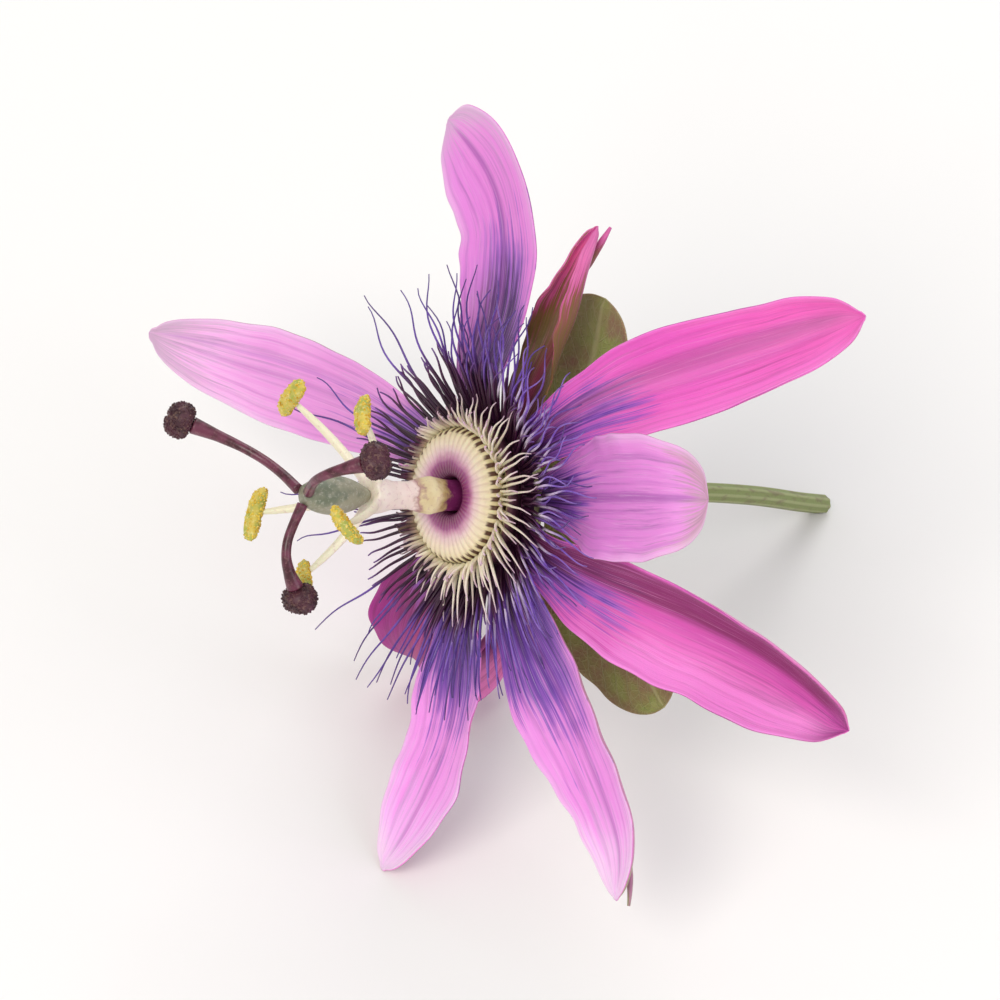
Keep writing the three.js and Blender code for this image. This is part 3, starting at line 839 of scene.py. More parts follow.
# Painted shade: the short filaments' dark-tipped bands stand for the shade on the side away from facing;
# their pale bands are their own cream.
SHORT_FILAMENT = FilamentFinish(
    "filament_cream", roughness=0.45, glow=0.15, relief=0.02, fleck="#9a8a5c", flecks=0.12, pale_from=0.02,
    bands=((0.0, "#d8c8a0"), (0.25, "#b89a90"), (0.5, "#5c2448"), (1.0, "#3a0f30")),
    pale_bands=((0.0, "#efe3bd"), (0.3, "#fcf3d8"), (0.7, "#f8e6dc"), (1.0, "#dcb6d2")),
)
RING_DARK = TurnedFinish(
    "ring_maroon", low=9.0, high=11.0, bands=((0.0, "#4a1034"), (1.0, "#2c0622")),
)
RING_CREAM = TurnedFinish(
    "ring_cream", glow=0.1, low=9.0, high=10.2, fleck="#8a6a5c", flecks=0.2,
    bands=((0.0, "#efe3bd"), (0.35, "#dccfa4"), (0.6, "#7a4a54"), (1.0, "#3a0a2c")),
)
# Past gap_shade_from the disc's rim takes painted shade in the gaps between its pleats.
DISC = TurnedFinish(
    "disc_cream", roughness=0.38, glow=0.18, glow_depth=0.9, coat=0.12, relief=0.08, low=2.0, high=8.8,
    ribs=46, fleck="#b58a84", flecks=0.12, gap_shade_from=0.84,
    bands=(
        (0.0, "#5c1c48"), (0.22, "#843068"), (0.33, "#a04c88"), (0.42, "#d094b4"), (0.53, "#ecccd0"),
        (0.68, "#f4e3cb"), (0.9, "#e6d9ae"), (1.0, "#c2b582"),
    ),
)
# The mauve band at 0.435 is painted shade in the crease between the bulge and the upper column.
COLUMN = TurnedFinish(
    "column_blush", roughness=0.38, glow=0.2, glow_depth=0.9, coat=0.15, by_height=True,
    low=-2.0, high=26.0, fleck="#a85c86", flecks=0.22, fleck_size=1.9,
    bands=(
        (0.0, "#641848"), (0.27, "#74205a"), (0.3, "#c2ad70"), (0.36, "#efe2b6"), (0.41, "#e2d0a0"),
        (0.435, "#b58a84"), (0.47, "#fbe6dc"), (0.66, "#fdeee2"), (0.76, "#f4edd2"), (1.0, "#e9e6c4"),
    ),
)
OVARY = MottledFinish(
    "ovary_bloom", glow=0.1, ground="#9c9a84", cloud="#6d7560", spot="#c0c0b2", cloud_size=0.35, spots=0.4,
)
ANTHER = MottledFinish(
    "anther_sac", roughness=0.6, glow=0.12, relief=0.06, ground="#d9c256", cloud="#a8b04c", spot="#efe3a2",
)
POLLEN = MottledFinish(
    "pollen_grains", roughness=0.75, glow=0.1, relief=0.02, ground="#e8c94a", cloud="#c99a1e",
    spot="#f6ecaa", cloud_size=0.9,
)
STYLE = MottledFinish(
    "style_stem", roughness=0.36, glow=0.06, coat=0.15, relief=0.04, ground="#6c2f46", cloud="#42141f",
    spot="#a06a72", cloud_size=0.6, spots=0.3,
)
STIGMA = MottledFinish("stigma_knob", ground="#4d2330", cloud="#33121c", spot="#8a6a58", spots=0.45)
CUP = TurnedFinish(
    "cup_green", glow=0.08, relief=0.08, by_height=True, low=-9.6, high=-0.4, ribs=10,
    fleck="#5c6a36", flecks=0.3, bands=((0.0, "#93995f"), (0.5, "#8b9657"), (1.0, "#a7a276")),
)
STEM = StemFinish("stem_green", glow=0.05, relief=0.06)


# ---- Meshes ----


class Shell:
    """Grids of points sewn into one closed mesh, with UVs at its corners and marks at its points."""

    def __init__(self) -> None:
        """Starts with no points."""
        self.points: list[np.ndarray] = []
        self.faces: list[tuple[int, ...]] = []
        self.corners: list[tuple[float, float]] = []
        self.marks: dict[str, list[np.ndarray]] = {}
        self.size = 0

    def add_grid(self, points: np.ndarray, closed: bool = False, **marks: np.ndarray | float) -> np.ndarray:
        """Adds a grid of points and the faces between them.

        Args:
            points: A rows by columns by 3 array.
            closed: Whether the last column joins the first.
            marks: Numbers for each point, or one for all.

        Returns:
            Each point's index, rows by columns.
        """
        rows, columns = points.shape[:2]
        index = self.size + np.arange(rows * columns).reshape(rows, columns)
        self.points.append(points.reshape(-1, 3))
        self.size += rows * columns
        for name, value in marks.items():
            whole = np.broadcast_to(np.asarray(value, dtype=float), (rows, columns))
            self.marks.setdefault(name, []).append(whole.reshape(-1))
        spans = columns if closed else columns - 1
        for j in range(rows - 1):
            for i in range(spans):
                k = (i + 1) % columns
                self.faces.append((index[j, i], index[j + 1, i], index[j + 1, k], index[j, k]))
                u0, u1, v0, v1 = i / spans, (i + 1) / spans, j / (rows - 1), (j + 1) / (rows - 1)
                self.corners += [(u0, v0), (u0, v1), (u1, v1), (u1, v0)]
        return index

    def sew(self, first: np.ndarray, second: np.ndarray) -> None:
        """Joins two rows of points with a strip of faces."""
        for i in range(len(first) - 1):
            self.faces.append((first[i], first[i + 1], second[i + 1], second[i]))
            u0, u1 = i / (len(first) - 1), (i + 1) / (len(first) - 1)
            self.corners += [(u0, 0.5), (u1, 0.5), (u1, 0.5), (u0, 0.5)]

    def mesh(self, name: str) -> bpy.types.Mesh:
        """The shell as a mesh.

        Args:
            name: The mesh's name.

        Returns:
            The mesh, with poles merged and every face pointing out.
        """
        made = bpy.data.meshes.new(name)
        made.from_pydata(np.concatenate(self.points).tolist(), [], self.faces)
        layer = made.uv_layers.new(name="Face")
        layer.data.foreach_set("uv", np.array(self.corners, dtype=np.float32).reshape(-1))
        for mark, values in self.marks.items():
            store_mark(made, mark, np.concatenate(values))
        work = bmesh.new()
        work.from_mesh(made)
        bmesh.ops.remove_doubles(work, verts=work.verts, dist=1e-4)
        bmesh.ops.recalc_face_normals(work, faces=work.faces)
        work.to_mesh(made)
        work.free()
        made.shade_smooth()
        return made


def store_mark(mesh: bpy.types.Mesh, name: str, values: np.ndarray) -> None:
    """Stores a number, or a vector, at each point of a mesh."""
    if values.ndim == 2:
        mesh.attributes.new(name, "FLOAT_VECTOR", "POINT").data.foreach_set("vector", values.reshape(-1))
    else:
        mesh.attributes.new(name, "FLOAT", "POINT").data.foreach_set("value", values)


def round_mesh(name: str, grid: np.ndarray, **marks: np.ndarray | float) -> bpy.types.Mesh:
    """The mesh of one grid of points whose last column joins its first."""
    shell = Shell()
    shell.add_grid(grid, closed=True, **marks)
    return shell.mesh(name)


def turned_grid(profile: np.ndarray, sides: int, ribs: int = 0, rib: float = 0.0) -> np.ndarray:
    """The points of a turned body.

    Args:
        profile: Stations of radius and height, in order along the outline.
        sides: Points round the axis.
        ribs: Ribs round the axis.
        rib: How far a rib stands out, as a share of the radius.

    Returns:
        A stations by sides by 3 array.
    """
    turn = np.linspace(0.0, math.tau, sides, endpoint=False)
    radius = profile[:, :1] * (1.0 + rib * np.cos(turn * ribs)[None, :])
    height = np.broadcast_to(profile[:, 1:2], radius.shape)
    return np.stack([radius * np.cos(turn), radius * np.sin(turn), height], axis=2)


def tube_grid(line: np.ndarray, radii: np.ndarray, sides: int, flat: float = 1.0) -> np.ndarray:
    """The points of a tube with both ends drawn to a point.

    Args:
        line: The stations of the tube's middle line.
        radii: Its radius at each station.
        sides: Points round it.
        flat: Its thickness as a share of its width.

    Returns:
        A stations by sides by 3 array.
    """
    line = np.concatenate([line[:1], line, line[-1:]])
    radii = np.concatenate([[0.0], radii, [0.0]])
    ahead = np.gradient(line[1:-1], axis=0)
    ahead = np.concatenate([ahead[:1], ahead, ahead[-1:]])
    ahead /= np.linalg.norm(ahead, axis=1, keepdims=True)
    turn = np.linspace(0.0, math.tau, sides, endpoint=False)
    hint = np.array([0.0, 0.0, 1.0]) if abs(ahead[0, 2]) < 0.9 else np.array([1.0, 0.0, 0.0])
    rows = []
    for place, way, radius in zip(line, ahead, radii):
        hint = hint - way * np.dot(hint, way)
        hint /= np.linalg.norm(hint)
        across = np.cross(way, hint)
        offsets = np.outer(np.cos(turn) * flat, hint) + np.outer(np.sin(turn), across)
        rows.append(place + offsets * radius)
    return np.array(rows)


@dataclass(frozen=True)
class BloomPlace:
    """Where the bloom lies: its ring's middle, and how far it is tipped back and turned away."""

    centre: tuple[float, float, float] = (-2.58, 3.23, 39.05)
    tip_back: float = 42.0
    turn_away: float = 51.0

    def turn(self) -> Matrix:
        """The bloom's turn in the frame of the solids."""
        back = Matrix.Rotation(math.radians(self.tip_back), 4, "X")
        return back @ Matrix.Rotation(math.radians(-self.turn_away), 4, "Y")

    def matrix(self) -> Matrix:
        """From bloom millimetres to metres in the frame of the solids."""
        return Matrix.Scale(MM, 4) @ Matrix.Translation(self.centre) @ self.turn()


class Assembly:
    """A sub-assembly of the bloom, which puts its finished meshes in place."""

    def __init__(self, place: BloomPlace) -> None:
        """Takes the bloom's place."""
        self.place = place

    def settle(
        self, name: str, mesh: bpy.types.Mesh, slot: str, nodes: Sequence[str], finish: Finish
    ) -> bpy.types.Object:
        """Puts a mesh in place as a finished piece.

        Args:
            name: The piece's name.
            mesh: The mesh, in bloom millimetres.
            slot: The record's material slot; not used.
            nodes: The solids that the piece stands for.
            finish: The piece's finish.

        Returns:
            The piece.
        """
        points = np.empty(len(mesh.vertices) * 3, dtype=np.float32)
        mesh.vertices.foreach_get("co", points)
        store_mark(mesh, "place", points.reshape(-1, 3))
        mesh.transform(self.place.matrix())
        mesh.vertices.foreach_get("co", points)
        points[2::3] = np.maximum(points[2::3], 0.0)
        mesh.vertices.foreach_set("co", points)
        mesh.materials.clear()
        mesh.materials.append(finish.build())
        mesh.update()
        piece = linked(name, mesh)
        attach(piece, BODY)
        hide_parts(*nodes)
        log.info("%s: %d faces", name, len(mesh.polygons))
        return piece


# ---- Sepals, petals and bracts ----


class Whorl(Enum):
    """The three kinds of blade, each with its slot's name."""

    SEPAL = "sepal"
    PETAL = "petal"
    BRACT = "bract"


@dataclass(frozen=True)
class Blade:
    """A thin curved blade, from its root at the cup or stalk to its tip."""

    at: float
    length: float
    half: float
    rise: tuple[float, ...]
    swing: tuple[float, ...]
    cup: tuple[float, ...]
    finish: Finish
    root: tuple[float, float] = (9.9, -1.2)
    seat: float = 10.5
    claw: float = 2.9
    widest: float = 0.52
    point: float = 2.2
    tip: float = 0.9
    blunt: float = 0.65
    wave: float = 0.45
    waves: float = 2.5
    ruffle: float = 0.16
    thickness: float = 0.6
    rim: float = 0.16
    vein_count: int = 9
    vein_depth: float = 0.04
    keel: float = 0.16
    keel_width: float = 0.13
    rib_width: float = 0.07
    fold: float = 0.0
    shoulder: float = 1.5
    frills: float = 7.3
    billow: float = 0.22
    edge_power: float = 3.2
    rows: int = 110
    columns: int = 54

    def spine(self, s: np.ndarray) -> tuple[np.ndarray, np.ndarray, np.ndarray]:
        """The blade's middle line.

        Args:
            s: Stations from 0 at the root to 1 at the tip.

        Returns:
            The points there, the direction across the blade, and the one that it faces.
        """
        steps = 720
        fine = np.linspace(0.0, 1.0, steps + 1)
        up, side = np.radians(spread(self.rise, fine)), np.radians(spread(self.swing, fine))
        ahead = np.stack([np.cos(up) * np.cos(side), np.cos(up) * np.sin(side), np.sin(up)], axis=1)
        sunk = self.seat - self.root[0]
        stride = (self.length + sunk) / steps
        walked = np.concatenate([[[0.0] * 3], np.cumsum(ahead[:-1], axis=0)]) * stride
        walked += np.array([self.root[0], 0.0, self.root[1]])
        across = np.stack([-np.sin(side), np.cos(side), np.zeros_like(side)], axis=1)
        facing = np.cross(ahead, across)

        def at(values: np.ndarray) -> np.ndarray:
            """The fine stations' values, read at s."""
            return np.stack([np.interp(s, fine, values[:, axis]) for axis in range(3)], axis=1)

        return at(walked), at(across), at(facing)

    def outline(self, s: np.ndarray) -> np.ndarray:
        """The blade's half width at each station: a claw, the widest place and a rounded tip."""
        tip_share, least = 1.6, 0.0004
        grown = np.sin(np.pi / 2 * np.clip(s / self.widest, 0, 1)) ** self.shoulder
        beyond = np.clip((s - self.widest) / (1 - self.widest), 0, 1)
        wide = np.maximum(self.tip, self.half * (1 - beyond**self.point) ** self.blunt)
        width = np.where(s < self.widest, lerp(self.claw, self.half, grown), wide)
        closing = 1 - tip_share * self.tip / self.length
        round_off = np.sqrt(np.clip(1 - (np.clip(s - closing, 0, 1) / (1 - closing)) ** 2, least, 1))
        wobble = 1 + 0.012 * np.sin(s * 23 + self.at) + 0.01 * np.sin(s * 41 + 2 * self.at)
        return width * round_off * wobble

    def veins(self, s: np.ndarray, t: np.ndarray) -> np.ndarray:
        """How much of a vein each place of the blade holds, from 0 to 1."""
        fine_share, fine_from, fade_from = 0.7, 0.55, 0.86
        sway = 0.02 * np.sin(s * 9 + self.at)
        uneven = 0.05 * np.sin(7.0 * t + self.at) + 0.02 * np.sin(17.0 * t + 6.0 * s)
        wave = np.cos((t + sway + uneven) * np.pi * self.vein_count)
        fine = smooth_between(fine_from, 1.0, wave) * fine_share
        middle = np.exp(-((t / self.rib_width) ** 2))
        return np.clip(np.maximum(fine, middle) * smooth_between(1.0, fade_from, s), 0, 1)

    def relief(self, s: np.ndarray, t: np.ndarray) -> np.ndarray:
        """How far each place stands off the blade's even curve: waves, frills, fold and billows."""
        left = t > 0
        ends = np.sin(np.pi * s)
        off = self.wave * t**2 * np.sin(s * math.tau * self.waves + np.where(left, 0.4, 2.2)) * ends
        frill = np.sin(s * math.tau * self.frills + np.where(left, self.at, 1.7 * self.at))
        off += self.ruffle * np.abs(t) ** 5 * frill * ends
        off += self.fold * np.abs(t) * ends + self.billow * ends * np.sin(11.0 * s + 2.3 * t + self.at)
        return off

    def mesh(self, name: str) -> bpy.types.Mesh:
        """The blade as a closed mesh, in bloom millimetres.

        Args:
            name: The mesh's name.

        Returns:
            The mesh, with marks for veins and for the outer face.
        """
        finer_tip, finer_edge, least_curl = 0.5, 0.9, 1e-3
        thin_from, keel_to = 0.96, 0.8
        even = np.linspace(0.0, 1.0, self.rows + 1)
        line = lerp(even, np.sin(np.pi / 2 * even), finer_tip)
        sides = np.linspace(-1.0, 1.0, self.columns + 1)
        sides = np.sign(sides) * np.abs(sides) ** finer_edge
        s, t = np.meshgrid(line, sides, indexing="ij")
        point, across, facing = (values[:, None, :] for values in self.spine(line))
        curl = np.maximum(np.radians(spread(self.cup, line)), least_curl)[:, None]
        bend = self.outline(line)[:, None] / curl
        middle = (
            point
            + across * (bend * np.sin(t * curl))[:, :, None]
            + facing * (bend * (1 - np.cos(t * curl)) + self.relief(s, t))[:, :, None]
        )
        normal = np.cross(np.gradient(middle, axis=0), np.gradient(middle, axis=1))
        normal /= np.maximum(np.linalg.norm(normal, axis=2, keepdims=True), 1e-9)
        vein = self.veins(s, t)
        body = np.sqrt(np.clip(1 - np.abs(t) ** self.edge_power, 0.0, 1.0))
        deep = lerp(self.rim, self.thickness, body * smooth_between(1.0, thin_from, s)) / 2
        ridge = self.keel * np.exp(-((t / self.keel_width) ** 2)) * smooth_between(1.0, keel_to, s)
        front = middle + normal * (deep - self.vein_depth * vein)[:, :, None]
        back = middle - normal * (deep + self.vein_depth * vein + ridge)[:, :, None]

        shell = Shell()
        upper = shell.add_grid(self.turned(front), vein=vein, outside=0.0)
        lower = shell.add_grid(self.turned(back), vein=vein, outside=1.0)
        for side in (np.s_[:, 0], np.s_[:, -1], np.s_[0], np.s_[-1]):
            shell.sew(upper[side], lower[side])
        self.add_awn(shell)
        return shell.mesh(name)

    def turned(self, points: np.ndarray) -> np.ndarray:
        """Points turned about the bloom's axis to where the blade stands."""
        turn = math.radians(self.at)
        cosine, sine = math.cos(turn), math.sin(turn)
        x, y, z = (points[..., axis] for axis in range(3))
        return np.stack([x * cosine - y * sine, x * sine + y * cosine, z], axis=-1)

    def add_awn(self, shell: Shell) -> None:
        """Adds nothing: only a sepal has an awn."""


@dataclass(frozen=True)
class Sepal(Blade):
    """A sepal, which has a firm keel that runs out in a small horn behind the tip."""

    root: tuple[float, float] = (9.9, -2.5)
    claw: float = 3.0
    widest: float = 0.5
    point: float = 2.0
    tip: float = 0.8
    wave: float = 0.35
    waves: float = 2.0
    thickness: float = 0.7
    keel: float = 0.24
    awn_from: float = 0.72
    awn_standoff: float = 1.8

    def add_awn(self, shell: Shell) -> None:
        """Adds the horn."""
        stations, sides, gap = 16, 10, 0.3
        s = np.linspace(self.awn_from, 1.0, stations)
        point, _, facing = self.spine(s)
        off = gap + self.awn_standoff * np.clip(s - 0.8, 0, 1) / 0.2
        radii = np.interp(s, [self.awn_from, 0.82, 0.93, 1.0], [0.2, 0.55, 0.46, 0.2])
        grid = tube_grid(point - facing * off[:, None], radii, sides)
        shell.add_grid(self.turned(grid), closed=True, vein=0.5, outside=1.0)


@dataclass(frozen=True)
class Bract(Blade):
    """A bract behind the cup: broad, cupped and firm."""

    root: tuple[float, float] = (1.3, -11.6)
    seat: float = 2.175
    claw: float = 1.3
    widest: float = 0.42
    point: float = 2.4
    tip: float = 0.2
    blunt: float = 0.5
    wave: float = 0.3
    waves: float = 2.0
    ruffle: float = 0.1
    vein_count: int = 5


SEPALS = (
    Sepal(
        151, 48.3, 6.5, (3, 6, 16, 28, 34, 28), (4, 8, 10, 7), (20, 30, 26, 24), SEPAL_PALE,
        point=2.5, tip=1.4,
    ),
    Sepal(62, 27, 4.7, (-16, -16, -10, -4, -2), (2, 6, 6, 2), (16, 60, 140, 130), SEPAL_HOT),
    Sepal(
        -2, 30, 8.1, (3, 6, 8, 4, -20, -70), (2.4, 2, 0), (15, 22, 22, 20), SEPAL,
        widest=0.6, point=3.0, tip=0.6, blunt=0.5,
    ),
    Sepal(
        -69, 45, 7.4, (2, -4, -8, -12, -8, 20), (8, 10, 0, -20), (20, 42, 44, 38), SEPAL_ROSE,
        claw=4.4, widest=0.45,
    ),
    Sepal(221, 37, 7.8, (-2, -6, -14, -60, -116, -150), (2, 5, 16, 36), (20, 28, 42, 36), SEPAL_SHADED),
)
PETALS = (
    Blade(
        97, 42, 7.7, (2, -2, 0, 4, 6), (-2, -38, -21, 5, 32, 50), (20, 26, 24, 28), PETAL_TOP,
        point=3.2, tip=1.8, blunt=0.54, wave=0.2, ruffle=0.06,
    ),
    Blade(
        31, 48, 7.6, (-2, -22, -38, -36, -30), (-2.2, -11, -9.5, -1), (20, 50, 70, 60), PETAL_UPPER,
        point=2.8, tip=1.7, blunt=0.54, fold=0.6,
    ),
    Blade(
        -35, 49, 8.2, (-2, -20, -36, -36, -30), (4, 11, 0, -15), (20, 50, 74, 62), PETAL_LOWER,
        point=2.8, tip=1.6, blunt=0.52, fold=0.6,
    ),
    Blade(-107, 40.6, 6.8, (2, 0, 6, 12, 13), (2, 15, 3, -12, -20), (20, 30, 30, 32), PETAL_ROSE, tip=1.1),
    Blade(182, 44, 6.4, (-6, -40, -64, -64, -56), (0, 2, 4), (20, 26, 30, 30), PETAL),
)
BRACTS = (
    Bract(66, 25, 10.4, (4, -8, -6, 4, 8), (0,), (30, 32, 22, 8), BRACT),
    Bract(-57, 30, 9.4, (0, -12, -14, -8, -4), (0,), (30, 32, 22, 8), BRACT),
    Bract(186, 27, 8.6, (-10, -34, -38, -30, -22), (0,), (30, 32, 22, 8), BRACT),
)


@dataclass
class Blades(Assembly):
    """One whorl of sepals, petals or bracts."""

    place: BloomPlace
    kind: Whorl
    blades: tuple[Blade, ...]

    def build(self) -> None:
        """Makes the whorl's blades."""
        for number, blade in enumerate(self.blades, start=1):
            node = f"{self.kind.value}_{number}"
            self.settle(f"{node}_blade", blade.mesh(node), self.kind.value, [node], blade.finish)


# ---- Stalk and cup ----


@dataclass
class Stalk(Assembly):
    """The short length of stalk that carries the bloom, cut square at its end."""

    place: BloomPlace
    recipe: Recipe
    radius: float = 1.25
    top: float = -9.3
    straight: float = 3.0
    stations: int = 90
    bends: tuple[tuple[float, float, float], ...] = (
        (13.4, 8.0, -8.6), (20.5, 12.4, -13.4), (28.5, 18.2, -19.6),
        (36.5, 24.6, -27.4), (42.6, 30.0, -34.6), (45.8, 33.2, -38.6),
    )

    def build(self) -> None:
        """Sweeps the stalk along its course, whose bends are in the axes of the solids."""
        unturn = self.place.turn().inverted()
        points = [Vector((0, 0, self.top - step)) for step in (0.0, self.straight)]
        points += [unturn @ Vector(bend) for bend in self.bends]
        line = course(points, self.stations)
        path = bpy.data.meshes.new("stalk_path")
        path.from_pydata(line.tolist(), [(i, i + 1) for i in range(len(line) - 1)], [])
        values = {"Radius": self.radius, "Ridges": 8, "Ridge": 0.05, "Swell": 0.5}
        mesh = self.recipe.run("stalk", STEM.build(), values, path)
        self.settle("stalk", mesh, "stalk", ["peduncle"], STEM)


@dataclass
class Cup(Assembly):
    """The green cup that carries the tepals and holds the nectar chamber."""

    place: BloomPlace
    radius: float = 10.2
    top: float = -0.4
    bottom: float = -9.6
    chamber: float = 6.2
    chamber_floor: float = -2.6
    sides: int = 120

    def build(self) -> None:
        """Turns the cup, with ten soft ribs below the tepals."""
        low = self.bottom
        wall = [
            (0.0, low), (1.9, low), (3.6, low + 1.2), (5.6, low + 3.6), (7.4, low + 5.6),
            (self.radius - 0.2, low + 6.6), (self.radius, self.top - 1.0),
        ]
        inside = [
            (self.radius, self.top - 0.3), (self.radius - 0.3, self.top), (self.chamber, self.top),
            (self.chamber - 0.5, self.chamber_floor), (0.0, self.chamber_floor),
        ]
        profile = np.vstack([outline_course(wall, 40), inside])
        mesh = round_mesh("cup", turned_grid(profile, self.sides, ribs=10, rib=0.02))
        self.settle("cup", mesh, "cup", ["calyx_cup"], CUP)


# ---- Corona ----


@dataclass(frozen=True)
class Fringe:
    """One row of the corona's filaments, in the sizes that the fringe tree takes.

    Filaments lift more on the side at toward, and they stay dense on the side at facing, where the finish
    paints them pale as painted light.
    """

    count: int
    root: float
    reach: float
    foot: float
    lift: float
    swing: float
    thickness: float
    tip: float
    wave: float
    scatter: float
    ragged: float
    turn: float
    seed: int
    finish: Finish
    bend: float = 1.4
    points: int = 15
    sides: int = 5
    lean: float = 0.07
    sparse: float = 0.0
    toward: float = math.radians(155)
    facing: float = math.radians(-12)

    def values(self) -> dict[str, float | int]:
        """The row's sizes under the names of the tree's inputs."""
        sizes = [field.name for field in fields(self) if field.name != "finish"]
        return {size.title(): getattr(self, size) for size in sizes}


LONG_ROW = Fringe(
    count=76, root=10.5, reach=28.4, foot=0.4, lift=5.4, swing=2.0, thickness=0.24, tip=0.3, wave=0.8,
    scatter=0.05, ragged=0.08, turn=0.0, seed=11, finish=LONG_FILAMENT, points=20, sparse=0.8,
)
SHORT_ROW = Fringe(
    count=60, root=9.0, reach=13.6, foot=2.9, lift=1.2, swing=0.3, thickness=0.25, tip=0.24, wave=0.2,
    scatter=0.07, ragged=0.24, turn=0.0, seed=21, finish=SHORT_FILAMENT, bend=1.8, points=11, lean=-0.82,
)
LONG_ROWS = (
    LONG_ROW,
    replace(LONG_ROW, root=10.4, reach=26.6, foot=0.5, lift=6.4, turn=0.5, seed=12, sparse=0.84),
    replace(
        LONG_ROW, count=64, root=10.3, reach=22.6, foot=0.6, lift=4.8, swing=1.4, wave=0.7, scatter=0.06,
        ragged=0.1, turn=0.3, seed=14, points=18, sparse=0.9,
    ),
    Fringe(
        count=104, root=10.2, reach=18.2, foot=0.6, lift=3.6, swing=0.6, thickness=0.32, tip=0.3,
        wave=0.3, scatter=0.05, ragged=0.12, turn=0.25, seed=13, finish=MIDDLE_FILAMENT,
    ),
)
SHORT_ROWS = (
    SHORT_ROW,
    replace(
        SHORT_ROW, count=58, root=8.9, reach=11.9, foot=3.1, lift=1.8, swing=0.2, thickness=0.27, tip=0.3,
        wave=0.1, scatter=0.06, ragged=0.18, turn=0.5, seed=22, points=9, lean=-0.74,
    ),
    replace(
        SHORT_ROW, count=62, root=8.8, reach=10.3, foot=3.1, lift=1.8, swing=0.1, thickness=0.3, tip=0.4,
        wave=0.06, scatter=0.05, ragged=0.12, turn=0.2, seed=23, bend=1.6, points=8, lean=-0.5,
    ),
)


@dataclass
class Corona(Assembly):
    """The rings of filaments, the disc inside them, and the rings that they stand on."""

    place: BloomPlace
    recipe: Recipe
    disc_hole: float = 2.3
    disc_rim: float = 8.7
    disc_crown: float = 4.5
    pleats: int = 46
    pleat_from: float = 4.6
    pleat_lift: float = 0.1
    pleat_swell: float = 0.012
    ring_inner: float = 9.0
    ring_outer: float = 11.0

    def ring(
        self, name: str, outer: float, bottom: float, top: float, node: str, slot: str, finish: Finish
    ) -> None:
        """Turns one of the two rings that filaments stand on.

        Args:
            name: The piece's name.
            outer: The ring's outer radius.
            bottom: Its lower side's height.
            top: Its crest's height.
            node: The solid that it stands for.
            slot: Its material slot.
            finish: Its finish.
        """
        middle = (self.ring_inner + outer) / 2
        profile = np.array([
            (self.ring_inner, bottom), (outer, bottom), (outer, lerp(bottom, top, 0.6)),
            (lerp(outer, middle, 0.4), lerp(bottom, top, 0.9)), (middle, top),
            (lerp(self.ring_inner, middle, 0.4), lerp(bottom, top, 0.93)),
            (self.ring_inner, lerp(bottom, top, 0.7)), (self.ring_inner, bottom),
        ])
        mesh = round_mesh(name, turned_grid(profile, 160, ribs=40, rib=0.006))
        self.settle(name, mesh, slot, [node], finish)

    def disc(self) -> None:
        """Turns the cushion-like disc, with pleats that fade towards the column."""
        foot, crown, hole, rim = -0.1, self.disc_crown, self.disc_hole, self.disc_rim
        dome = [
            (hole, foot + 0.6), (hole + 0.1, crown - 0.5), (hole + 0.6, crown), (hole + 1.6, crown + 0.1),
            (rim - 3.6, crown + 0.1), (rim - 1.6, crown - 0.05), (rim - 0.7, crown - 0.5),
            (rim - 0.2, crown - 1.5), (rim, foot + 0.7),
        ]
        profile = np.vstack([[(hole, foot)], outline_course(dome, 60), [(rim, foot), (hole, foot)]])
        sides = self.pleats * 6
        grid = turned_grid(profile, sides)
        turn = np.linspace(0.0, math.tau, sides, endpoint=False)
        outward = smooth_between(self.pleat_from, rim - 0.6, profile[:, :1])
        fold = outward * smooth_between(foot, foot + 0.8, profile[:, 1:2])
        pleat = np.cos(turn * self.pleats + 0.6 * np.sin(turn * 5))
        grid[:, :, 2] += self.pleat_lift * fold * pleat
        grid[:, :, :2] *= (1.0 + self.pleat_swell * fold**4 * pleat)[:, :, None]
        self.settle("disc", round_mesh("disc", grid), "disc", ["operculum"], DISC)

    def build(self) -> None:
        """Makes the rings, the fringes and the disc."""
        outer_top = 0.9
        self.ring("corona_ring", self.ring_outer, -0.5, outer_top, "corona_outer", "corona", RING_DARK)
        self.ring("cream_ring", 10.1, outer_top - 0.1, 2.7, "corona_inner", "cream", RING_CREAM)
        groups = [
            ("long", "corona_outer", "corona", LONG_ROWS),
            ("short", "corona_inner", "cream", SHORT_ROWS),
        ]
        for label, node, slot, fringes in groups:
            for number, fringe in enumerate(fringes, start=1):
                name = f"{label}_filaments_{number}"
                mesh = self.recipe.run(name, fringe.finish.build(), fringe.values())
                self.settle(name, mesh, slot, [node], fringe.finish)
        self.disc()


# ---- Column, stamens and pistil ----


@dataclass(frozen=True)
class Stamen:
    """The way a stamen points round the column, and its anther's distance, height and turn."""

    at: float
    out: float
    up: float
    turn: float


